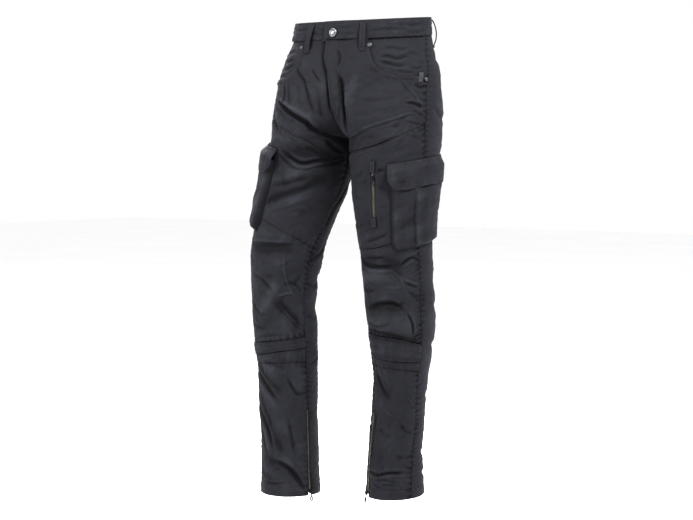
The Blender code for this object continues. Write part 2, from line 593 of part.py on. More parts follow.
def slider_and_pull(name, side, w, z, ring):
    """A slider with its bridge, and the pull whose crossbar turns under that bridge."""
    at = frame_at(side, w, z, 0.0)
    bm = bmesh.new()
    bmesh.ops.create_cube(bm, size=1.0, matrix=Matrix.Translation((0, -0.001, 0.00255)) @ Matrix.Diagonal((0.0074, 0.0095, 0.0022, 1)))
    mesh = bpy.data.meshes.new(name + "_slider")
    bm.to_mesh(mesh)
    bm.free()
    slider = add(name + "_slider", mesh, "dark_metal")
    slider.matrix_world = at
    bevel = slider.modifiers.new("round", "BEVEL")
    bevel.width, bevel.segments = 0.0007, 1
    outer = [(-0.0036, 0.0030), (0.0030, 0.0030), (0.0030, 0.0056), (0.0018, 0.0070), (-0.0024, 0.0070), (-0.0036, 0.0054)]
    hollow = [(-0.0026, 0.0040), (-0.0026, 0.0052), (-0.0018, 0.0061), (0.0013, 0.0061), (0.0020, 0.0052), (0.0020, 0.0040)]
    bridge = bpy.data.objects.new(name + "_bridge", plate(name + "_bridge", [outer, hollow], 0.0018))
    cutters.objects.link(bridge)
    bridge.hide_render, bridge.display_type = True, "WIRE"
    # the plate's X runs up the zip and its Y out of the cloth
    turn = Matrix(((0, 0, 1, 0), (1, 0, 0, 0), (0, 1, 0, 0), (0, 0, 0, 1)))
    bridge.matrix_world = at @ turn
    join = slider.modifiers.new("bridge", "BOOLEAN")
    join.operation, join.object = "UNION", bridge

    # pull: crossbar, slot for the bridge, neck, round eye
    out, across = at.to_3x3() @ Vector((0, 0, 1)), at.to_3x3() @ Vector((1, 0, 0))
    down = -(at.to_3x3() @ Vector((0, 1, 0)))
    plumb = Vector((0, 0, -1))
    plumb = (plumb - across * plumb.dot(across)).normalized()
    hangs = plumb if plumb.dot(out) > 0 else down
    neck, r_out, r_in, length = ring
    centre = -length
    join_y = centre + math.sqrt(max(r_out**2 - neck**2, 0))
    outline = [(-0.0026, 0.0005), (-0.0026, -0.0046), (-neck, -0.0060)]
    outline += [(-neck, join_y)] + arc(0, centre, r_out, 180 - math.degrees(math.acos(neck / r_out)), 360 + math.degrees(math.acos(neck / r_out)), 18)[1:-1]
    outline += [(neck, join_y), (neck, -0.0060), (0.0026, -0.0046), (0.0026, 0.0005)]
    slot = [(-0.0015, -0.0005), (0.0015, -0.0005), (0.0015, -0.0042), (-0.0015, -0.0042)]
    eye = arc(0, centre, r_in, 0, 360, 14)[:-1]
    pull = add(name + "_pull", plate(name + "_pull", [outline, slot, eye], 0.0010), "steel")
    face = across.cross(-hangs)
    m = Matrix((across, -hangs, face)).transposed().to_4x4()
    m.translation = at @ Vector((0, 0.0, AXIS_LIFT))
    pull.matrix_world = m
    return slider, pull


# thigh pocket's zip, left leg only: a slot cut in the panel, the teeth in it, a cloth garage over each end
zw = lambda z: THIGH_ZIP["w_top"] + (THIGH_ZIP["w_bottom"] - THIGH_ZIP["w_top"]) * (z - THIGH_ZIP["z_top"]) / (THIGH_ZIP["z_bottom"] - THIGH_ZIP["z_top"])
thigh = bpy.data.objects["thigh_front_L"]
levels = np.linspace(THIGH_ZIP["slot_top"], THIGH_ZIP["slot_bottom"], 7)
unit = float(np.linalg.norm(S("L", 0.56, -0.36) - S("L", 0.54, -0.36))) / 0.02
half = ZIP_SLOT / 2 / unit
p = np.array([on_cloth("L", np.array([zw(z) - half, zw(z) + half]), np.full(2, z), 0.0) for z in levels])
slot = wall("thigh_zip_slot", p, thickness=0.012, where=cutters, away=outward("L", 0.55, -0.36))
cut = thigh.modifiers.new("zip_slot", "BOOLEAN")
cut.operation, cut.object = "DIFFERENCE", slot
inside = np.linspace(THIGH_ZIP["slot_top"] - 0.0006, THIGH_ZIP["slot_bottom"] + 0.0006, 7)
chain("thigh_zip_chain", "L", [(zw(z), z) for z in inside], folded=True)
for label, z1, z2 in (("top", THIGH_ZIP["z_top"], THIGH_ZIP["slot_top"] - 0.0005), ("bottom", THIGH_ZIP["slot_bottom"] - 0.0005, THIGH_ZIP["z_bottom"])):
    g = 0.0065 / unit
    p = np.array([on_cloth("L", np.array([zw(z) - g, zw(z), zw(z) + g]), np.full(3, z), LIFT) for z in np.linspace(z1, z2, 3)])
    wall("thigh_zip_garage_" + label, p, away=outward("L", 0.55, -0.36))
slider_and_pull("thigh_zip", "L", zw(THIGH_ZIP["slider"]), THIGH_ZIP["slider"] - 0.004, (0.0013, 0.0030, 0.0016, 0.0150))

# hem zips, in the seam between the shin and the inner-leg panel
for side in SIDES:
    chain("hem_zip_chain_" + side, side, [(0.0, z) for z in np.linspace(HEM_ZIP_TOP - 0.012, Z_HEM + 0.010, 10)], folded=False)
    slider_and_pull("hem_zip_" + side, side, 0.0, Z_HEM + 0.010, (0.0012, 0.0050, 0.0030, 0.0175))

# ---------------------------------------------------------------- metal trims and the tag


def turned(name, side, w, z, lift, profile, kind, steps):
    """A round piece turned about its own Z, which stands out of the cloth; profile is radius and height from the top down."""
    mesh = bpy.data.meshes.new(name)
    mesh.from_pydata([(r, 0, h) for r, h in profile], [(i, i + 1) for i in range(len(profile) - 1)], [])
    o = add(name, mesh, kind)
    s = o.modifiers.new("turn", "SCREW")
    s.steps = s.render_steps = steps
    s.use_merge_vertices, s.merge_threshold, s.use_normal_calculate = True, 1e-5, False
    o.matrix_world = frame_at(side, w, z, lift)
    return o


band_face = BAND_OUT + BAND_CLOTH / 2
turned("waist_button", "L", 0.022, -0.006, band_face + OVERLAP_LIFT + 0.0004,
       [(0, 0.0048), (0.0050, 0.0046), (0.0082, 0.0038), (0.0096, 0.0030), (0.0097, 0.0021), (0.0090, 0.0014), (0.0045, 0.0012), (0.0042, 0.0), (0, 0.0)], "steel", 28)
for number, (side, w, z) in enumerate(RIVETS, 1):
    turned("rivet_%d" % number, side, w, z, CLOTH / 2 + 0.0006,
           [(0, 0.0020), (0.0022, 0.0018), (0.0028, 0.0013), (0.0046, 0.0011), (0.0047, 0.0005), (0.0044, 0.0), (0, 0.0)], "dark_metal", 18)

tag_w = 0.0065 / 0.26
p = np.array([on_cloth("L", np.array([0.888 - tag_w, 0.888, 0.888 + tag_w]), np.full(3, z), 0.0026) for z in (-0.1000, -0.1095, -0.1190)])
wall("pocket_tag", p, thickness=0.0008, kind="tag", away=outward("L", 0.88, -0.11))
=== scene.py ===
# Motorcycle trousers: the looks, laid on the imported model's frame.
import math
import bpy
import bmesh
import numpy as np
from mathutils import Matrix, Vector


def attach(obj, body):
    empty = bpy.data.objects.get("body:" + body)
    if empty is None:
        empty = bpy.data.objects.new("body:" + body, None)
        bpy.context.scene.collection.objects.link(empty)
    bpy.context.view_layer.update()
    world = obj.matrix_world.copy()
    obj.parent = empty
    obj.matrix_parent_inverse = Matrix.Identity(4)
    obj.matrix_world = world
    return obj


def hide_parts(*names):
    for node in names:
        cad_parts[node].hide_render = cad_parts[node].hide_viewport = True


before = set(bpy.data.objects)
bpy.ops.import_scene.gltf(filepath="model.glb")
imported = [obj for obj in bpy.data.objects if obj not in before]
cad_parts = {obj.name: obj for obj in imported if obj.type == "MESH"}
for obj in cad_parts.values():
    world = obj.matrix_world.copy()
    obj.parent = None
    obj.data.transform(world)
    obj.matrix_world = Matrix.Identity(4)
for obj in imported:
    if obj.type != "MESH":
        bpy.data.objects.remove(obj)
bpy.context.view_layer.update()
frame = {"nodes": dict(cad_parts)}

# ================================================================ sizes and tables of the cloth's surface, metres
CLOTH = 0.0016              # twill with its seam allowance, as a wall
BAND_CLOTH = 0.0028         # folded waistband
SEAM_GAP = 0.0005           # between the middles of two walls that are sewn together, 0.3 or more at their inner edges
Z_TOP, Z_WAIST_SEAM = 0.020, -0.020
Z_FORK, Z_HEM = -0.245, -1.043
THIGH_IN = 0.103            # from the centre to the middle of each thigh, at the fork
LEAN_X, LEAN_Y = -0.005, 0.085      # how far the waist stands up to the side and to the back
LIFT = 0.0031               # middle of a piece that lies on a panel, above the middle of that panel
FLY_LIFT = 0.0026           # left front over right front
OVERLAP_LIFT = 0.0036       # left end of the waistband over its right end
LOOP_WIDTH = 0.0135
CHAIN_WIDTH = 0.0044        # zip teeth
ZIP_SLOT = 0.0056           # opening the teeth show in
HEM_ZIP_TOP = -0.846
SIDES = {"L": 1.0, "R": -1.0}


def table(names, rows):
    """A short table: the columns by name, the rows as given."""
    return dict(zip(names.split(), np.array(rows, float).T))


# One row for each level of the hips.  along is the centre's place from front to back, turn is how far the hips
# are turned (degrees, right hip forward), rise_* is how far up the centre seam the level reaches.
HIP = table(
    "z      across   along   turn  half_w  front  back   rise_f rise_b out_turn", [
    (0.020, -0.002, -0.001,  3,   0.160,  0.117, 0.119,  1.00,  1.00,  0),
    (-0.020, -0.004, -0.004, 4,   0.165,  0.120, 0.122,  1.00,  1.00,  1),
    (-0.060, -0.007, -0.009, 6,   0.177,  0.125, 0.132,  1.00,  1.00,  7),
    (-0.110, -0.006, -0.013, 9,   0.189,  0.129, 0.141,  0.99,  1.00, 13),
    (-0.160, -0.006, -0.016, 10,  0.194,  0.130, 0.142,  0.94,  0.97, 19),
    (-0.195, -0.007, -0.017, 10,  0.196,  0.130, 0.140,  0.83,  0.88, 20),
    (-0.220, -0.008, -0.018, 10,  0.195,  0.127, 0.135,  0.66,  0.72, 21),
    (-0.236, -0.008, -0.018, 10,  0.194,  0.124, 0.130,  0.42,  0.47, 21),
    (-0.245, -0.009, -0.018, 10,  0.193,  0.123, 0.128,  0.00,  0.00, 21),
])

# One row for each level of a leg: its centre, how far it is turned, its half widths, how far the inner-leg seam
# and the outside seam stand forward (degrees), and how much the level slopes up to the back.
LEG_COLUMNS = "z across along turn half_w front back in_turn out_turn slope"
LEG = {
    "L": table(LEG_COLUMNS, [
        (-0.300, 0.089, -0.010, 9, 0.092, 0.108, 0.112, 2, 20, 0.00),
        (-0.350, 0.092, -0.014, 8, 0.090, 0.102, 0.104, 5, 19, 0.01),
        (-0.420, 0.095, -0.019, 6, 0.082, 0.091, 0.093, 9, 18, 0.02),
        (-0.500, 0.101, -0.018, 4, 0.077, 0.083, 0.085, 14, 19, 0.03),
        (-0.600, 0.107, -0.012, 2, 0.076, 0.078, 0.082, 24, 21, 0.04),
        (-0.690, 0.098, 0.010, 0, 0.070, 0.072, 0.076, 38, 18, 0.05),
        (-0.780, 0.084, 0.025, 0, 0.060, 0.062, 0.066, 50, 17, 0.06),
        (-0.870, 0.069, 0.036, 0, 0.059, 0.060, 0.062, 56, 15, 0.06),
        (-0.960, 0.060, 0.040, 0, 0.061, 0.063, 0.063, 56, 17, 0.06),
        (Z_HEM, 0.058, 0.042, 0, 0.065, 0.067, 0.067, 56, 22, 0.06),
    ]),
    "R": table(LEG_COLUMNS, [
        (-0.300, -0.118, -0.040, 9, 0.096, 0.108, 0.112, 2, 20, 0.00),
        (-0.350, -0.128, -0.044, 8, 0.095, 0.102, 0.104, 6, 19, 0.00),
        (-0.420, -0.149, -0.053, 6, 0.088, 0.093, 0.095, 9, 18, 0.00),
        (-0.500, -0.167, -0.064, 3, 0.081, 0.085, 0.087, 14, 19, 0.00),
        (-0.600, -0.170, -0.071, 0, 0.072, 0.075, 0.077, 15, 21, 0.00),
        (-0.690, -0.164, -0.074, 0, 0.070, 0.072, 0.074, 14, 20, 0.00),
        (-0.780, -0.156, -0.076, 0, 0.066, 0.068, 0.070, 13, 20, 0.00),
        (-0.870, -0.153, -0.077, 0, 0.065, 0.067, 0.068, 12, 20, 0.00),
        (-0.960, -0.150, -0.076, 0, 0.064, 0.066, 0.066, 12, 20, 0.00),
        (Z_HEM, -0.149, -0.076, 0, 0.067, 0.068, 0.068, 12, 20, 0.00),
    ]),
}

# Seams across the front of each leg: height against w.
SEAM = {
    ("L", "thigh"): table("w z", [(0, -0.290), (0.30, -0.272), (0.45, -0.266), (0.62, -0.254), (0.82, -0.230), (1, -0.212)]),
    ("R", "thigh"): table("w z", [(0, -0.290), (0.25, -0.277), (0.40, -0.252), (0.55, -0.228), (0.82, -0.205), (1, -0.196)]),
    ("L", "above_knee"): table("w z", [(0, -0.492), (0.28, -0.482), (0.50, -0.478), (0.70, -0.467), (1, -0.445)]),
    ("R", "above_knee"): table("w z", [(0, -0.488), (0.35, -0.453), (0.70, -0.421), (1, -0.410)]),
    ("L", "band_top"): table("w z", [(0, -0.668), (0.39, -0.672), (0.68, -0.678), (1, -0.692)]),
    ("R", "band_top"): table("w z", [(0, -0.686), (0.33, -0.693), (0.78, -0.701), (1, -0.703)]),
    ("L", "band_bottom"): table("w z", [(0, -0.716), (0.36, -0.722), (0.75, -0.727), (1, -0.730)]),
    ("R", "band_bottom"): table("w z", [(0, -0.709), (0.34, -0.715), (0.74, -0.727), (1, -0.730)]),
    ("L", "strip_bottom"): table("w z", [(0, -0.740), (0.31, -0.742), (0.66, -0.747), (1, -0.754)]),
    ("R", "strip_bottom"): table("w z", [(0, -0.742), (0.29, -0.743), (0.65, -0.746), (1, -0.750)]),
}
# Rows of cloth down the hips, closer where the seat turns under to the fork, and the one that ends at the fork.
HIP_STEPS = (0, 1/12, 2/12, 3/12, 4/12, 5/12, 6/12, 7/12, 0.66, 0.725, 0.775, 0.81, 0.8278, 10/12, 0.885, 0.94, 1)
FORK_ROW = HIP_STEPS.index(10/12)
STACK = [  # upper seam, lower seam, rows of cloth between them
    ("waist", "thigh", HIP_STEPS), ("thigh", "above_knee", 8), ("above_knee", "band_top", 8),
    ("band_top", "band_bottom", 2), ("band_bottom", "strip_bottom", 1), ("strip_bottom", "hem", 11),
]
FRONT_W = (0, 0.11, 0.22, 0.33, 0.38, 0.45, 0.55, 0.66, 0.78, 0.89, 1.0)
BACK_COLUMNS, INNER_COLUMNS = 8, 2
POCKET_MOUTH = table("w z", [(0.33, -0.020), (0.38, -0.062), (0.45, -0.083), (0.55, -0.098), (0.66, -0.104), (0.82, -0.106), (1, -0.108)])
INNER_SHARE = table("z share", [(Z_FORK, 0.012), (-0.268, 0.05), (-0.290, 0.09), (-0.350, 0.16), (-0.450, 0.24), (-0.600, 0.27), (Z_HEM, 0.27)])
FLY_EDGE = table("z w", [(-0.020, 0.055), (-0.060, 0.056), (-0.100, 0.056), (-0.134, 0.046), (-0.160, 0.034), (-0.178, 0.022)])

# The largest folds: a trough (depth below zero) or ridge from one place to another, with its half width.
FOLDS = {
    "L": table("depth width w1 z1 w2 z2", [
        (-0.006, 0.016, 0.15, -0.105, 0.19, -0.215),
        (-0.005, 0.018, 0.20, -0.506, 0.74, -0.518),
        (0.005, 0.020, 0.24, -0.545, 0.62, -0.520),
        (-0.006, 0.018, 0.26, -0.608, 0.76, -0.602),
        (-0.005, 0.016, 0.12, -0.664, 0.96, -0.684),
        (-0.004, 0.020, 0.12, -0.756, 0.42, -0.815),
        (-0.007, 0.018, 1.15, -0.560, 1.75, -0.545),
        (-0.007, 0.018, 1.25, -0.615, 1.85, -0.600),
        (-0.006, 0.020, 1.10, -0.700, 1.60, -0.730),
        (-0.005, 0.020, 1.45, -0.290, 1.90, -0.262),
        (-0.005, 0.020, 1.20, -0.940, 1.80, -0.975),
    ]),
    "R": table("depth width w1 z1 w2 z2", [
        (-0.007, 0.016, 0.80, -0.162, 0.14, -0.238),
        (-0.005, 0.018, 0.60, -0.272, 0.16, -0.285),
        (-0.005, 0.018, 0.80, -0.390, 0.22, -0.332),
        (-0.004, 0.018, 0.83, -0.487, 0.20, -0.488),
        (0.005, 0.020, 0.35, -0.560, 0.55, -0.640),
        (-0.005, 0.016, 0.32, -0.606, 0.04, -0.662),
        (-0.005, 0.018, 0.72, -0.756, 0.38, -0.812),
        (-0.006, 0.018, 0.74, -0.815, 0.39, -0.945),
        (-0.005, 0.016, 0.60, -0.960, 0.12, -1.005),
        (-0.007, 0.018, 1.20, -0.545, 1.80, -0.560),
        (-0.007, 0.018, 1.20, -0.610, 1.80, -0.625),
        (-0.005, 0.020, 1.40, -0.285, 1.90, -0.265),
        (-0.005, 0.020, 1.20, -0.900, 1.75, -0.870),
    ]),
}
W_LENGTH = 0.235            # metres of cloth to one step of w, for measuring a fold's width

# Cargo pockets: between two values of w and two heights.  The right one sits higher on the lifted thigh.
CARGO = {"L": dict(raised=0.0, bulge=0.0085), "R": dict(raised=0.035, bulge=0.0110)}
CARGO_W = (0.70, 1.24)
CARGO_BODY_Z = (-0.312, -0.475)
CARGO_FLAP_Z = (-0.286, -0.344)
CARGO_SLOPE = 0.041         # the pocket stands higher at the back, metres to one step of w

LOOPS = [("L", 0.285, 0.004), ("L", 1.26, 0.008), ("R", 0.245, 0.004), ("R", 1.26, 0.008), ("L", 2.0, 0.007)]
RIVETS = [("L", 0.352, -0.034), ("L", 0.965, -0.1145), ("R", 0.352, -0.034), ("R", 0.965, -0.1145)]
THIGH_ZIP = dict(w_top=0.560, z_top=-0.291, w_bottom=0.533, z_bottom=-0.433, slot_top=-0.316, slot_bottom=-0.410, slider=-0.323)


def smoothstep(t):
    t = np.clip(t, 0.0, 1.0)
    return t * t * (3 - 2 * t)


def curve_through(xs, ys, x):
    """A smooth curve through the points, with no overshoot between them (Fritsch and Carlson)."""
    order = np.argsort(xs)
    xs, ys = np.asarray(xs, float)[order], np.asarray(ys, float)[order]
    x = np.clip(np.asarray(x, float), xs[0], xs[-1])
    h = np.diff(xs)
    d = np.diff(ys) / h
    total = d[:-1] + d[1:]
    inner = np.where(d[:-1] * d[1:] > 0, 2 * d[:-1] * d[1:] / np.where(np.abs(total) < 1e-12, 1, total), 0.0)
    m = np.concatenate([[d[0]], inner, [d[-1]]])
    i = np.clip(np.searchsorted(xs, x) - 1, 0, len(xs) - 2)
    t = (x - xs[i]) / h[i]
    return ((2 * t**3 - 3 * t**2 + 1) * ys[i] + (t**3 - 2 * t**2 + t) * h[i] * m[i]
            + (3 * t**2 - 2 * t**3) * ys[i + 1] + (t**3 - t**2) * h[i] * m[i + 1])


def leg_levels(side):
    """Hips and leg as one table: at the hips, each half's own centre moves out from the middle as the rise falls away."""
    sign, levels = SIDES[side], []
    for k in range(len(HIP["z"])):
        row = {name: values[k] for name, values in HIP.items()}
        share = max(row["rise_f"], row["rise_b"])
        own = THIGH_IN * math.sqrt(max(0.0, 1 - share * share))
        turn = math.radians(row["turn"])
        levels.append((row["z"], row["across"] + sign * own * math.cos(turn), row["along"] + sign * own * math.sin(turn), row["turn"],
                       row["half_w"] - own, THIGH_IN, row["front"], row["back"], row["rise_f"], row["rise_b"], 0.0, row["out_turn"], 0.0))
    leg = LEG[side]
    for k in range(len(leg["z"])):
        row = {name: values[k] for name, values in leg.items()}
        levels.append((row["z"], row["across"], row["along"], row["turn"], row["half_w"], row["half_w"], row["front"], row["back"],
                       0.0, 0.0, row["in_turn"], row["out_turn"], row["slope"]))
    return table("z across along turn out_w in_w front back rise_f rise_b in_turn out_turn slope", levels)


LEVELS = {side: leg_levels(side) for side in SIDES}


def one_side(side, w, z):
    at = {name: curve_through(LEVELS[side]["z"], values, z) for name, values in LEVELS[side].items() if name != "z"}
    end_front = math.pi - np.arcsin(np.clip(at["rise_f"], 0, 1)) - np.radians(at["in_turn"])
    end_back = math.pi - np.arcsin(np.clip(at["rise_b"], 0, 1)) + np.radians(at["in_turn"])
    seam = -np.radians(at["out_turn"])
    angle = np.where(w <= 1, -end_front + (seam + end_front) * w, seam + (end_back - seam) * (w - 1))
    across = SIDES[side] * np.where(np.cos(angle) > 0, at["out_w"], at["in_w"]) * np.cos(angle)
    along = np.where(np.sin(angle) > 0, at["back"], at["front"]) * np.sin(angle)
    turn = np.radians(at["turn"])
    dx = across * np.cos(turn) - along * np.sin(turn)
    dy = across * np.sin(turn) + along * np.cos(turn)
    return np.stack([at["across"] + dx, at["along"] + dy, z + at["slope"] * dy], -1)


def S(side, w, z):
    """The smooth cloth surface; both halves end on one line down the centre front and the centre back."""
    w, z = np.broadcast_arrays(np.asarray(w, float), np.asarray(z, float))
    p = one_side(side, w, z)
    for edge in (0.0, 2.0):
        left, right = (one_side(s, np.full_like(z, edge), z) for s in ("L", "R"))
        own = left if side == "L" else right
        share = smoothstep(1 - np.abs(w - edge) / 0.45) * (z >= Z_FORK - 1e-6)
        p = p + ((left + right) / 2 - own) * share[..., None]
        # room for both walls where the centre seam turns under and the legs part
        room = 0.00005 * smoothstep((-0.150 - z) / 0.030) * (z >= Z_FORK - 1e-6)
        p[..., 0] += SIDES[side] * room * smoothstep(1 - np.abs(w - edge) / 0.15)
    lean = smoothstep((p[..., 2] - Z_FORK) / (Z_WAIST_SEAM - Z_FORK))
    p[..., 2] += lean * (LEAN_X * p[..., 0] + LEAN_Y * p[..., 1])
    return p


def unit_rows(n):
    return n / np.maximum(np.linalg.norm(n, axis=-1, keepdims=True), 1e-12)


def own_outward(side, w, z):
    e = 2e-3
    du = S(side, np.minimum(w + e, 2), z) - S(side, np.maximum(w - e, 0), z)
    dz = S(side, w, z + 5e-4) - S(side, w, z - 5e-4)
    return unit_rows(np.cross(du, dz) * SIDES[side])


def outward(side, w, z):
    """Unit vector out of the cloth; the two halves share one along the centre front and the centre back."""
    w, z = np.broadcast_arrays(np.asarray(w, float), np.asarray(z, float))
    n = own_outward(side, w, z)
    for edge in (0.0, 2.0):
        other = own_outward("R" if side == "L" else "L", np.full_like(z, edge), z)
        share = 0.5 * smoothstep(1 - np.abs(w - edge) / 0.12) * (z >= Z_FORK - 1e-6)
        n = n + (other - n) * share[..., None]
    return unit_rows(n)


def folds(side, w, z):
    out = np.zeros(np.broadcast(w, z).shape)
    f = FOLDS[side]
    for depth, width, w1, z1, w2, z2 in zip(*(f[n] for n in ("depth", "width", "w1", "z1", "w2", "z2"))):
        ax, ay = (w2 - w1) * W_LENGTH, z2 - z1
        px, py = (w - w1) * W_LENGTH, z - z1
        length = math.hypot(ax, ay)
        t = (px * ax + py * ay) / length**2
        away = np.abs(px * ay - py * ax) / length
        ends = smoothstep((t + 0.25) / 0.45) * smoothstep((1.25 - t) / 0.45)
        out += depth * np.exp(-(away / width) ** 2) * ends
    # nothing moves at the seams that several pieces share
    return out * smoothstep(w / 0.10) * smoothstep(np.abs(w - 1) / 0.10) * smoothstep((2 - w) / 0.10)


def on_cloth(side, w, z, lift=0.0, folded=True):
    w, z, lift = np.broadcast_arrays(np.asarray(w, float), np.asarray(z, float), np.asarray(lift, float))
    moved = lift + (folds(side, w, z) if folded else 0.0)
    return S(side, w, z) + outward(side, w, z) * moved[..., None]


def seam_z(side, name, w):
    if name in ("waist", "hem"):
        return np.full(np.shape(w), Z_WAIST_SEAM if name == "waist" else Z_HEM)
    s = SEAM[side, name]
    front = curve_through(s["w"], s["z"], np.minimum(w, 1))
    return np.where(np.asarray(w) <= 1, front, s["z"][-1] + (s["z"][0] - s["z"][-1]) * smoothstep((np.asarray(w) - 1) / 0.42))


def row_z(side, upper, lower, t, w):
    return (1 - t) * seam_z(side, upper, w) + t * seam_z(side, lower, w)


def fly_lift(side, w, z):
    """The left front lies over the right front as far down as the fly reaches."""
    if side == "R":
        return np.zeros(np.broadcast(w, z).shape)
    return FLY_LIFT * smoothstep(1 - w / 0.16) * smoothstep((z + 0.212) / 0.030)



def inner_w(side, z):
    """w of the seam between the back and the inner-leg panel."""
    return 2 - curve_through(INNER_SHARE["z"], INNER_SHARE["share"], z) * (z <= Z_FORK + 4e-4)


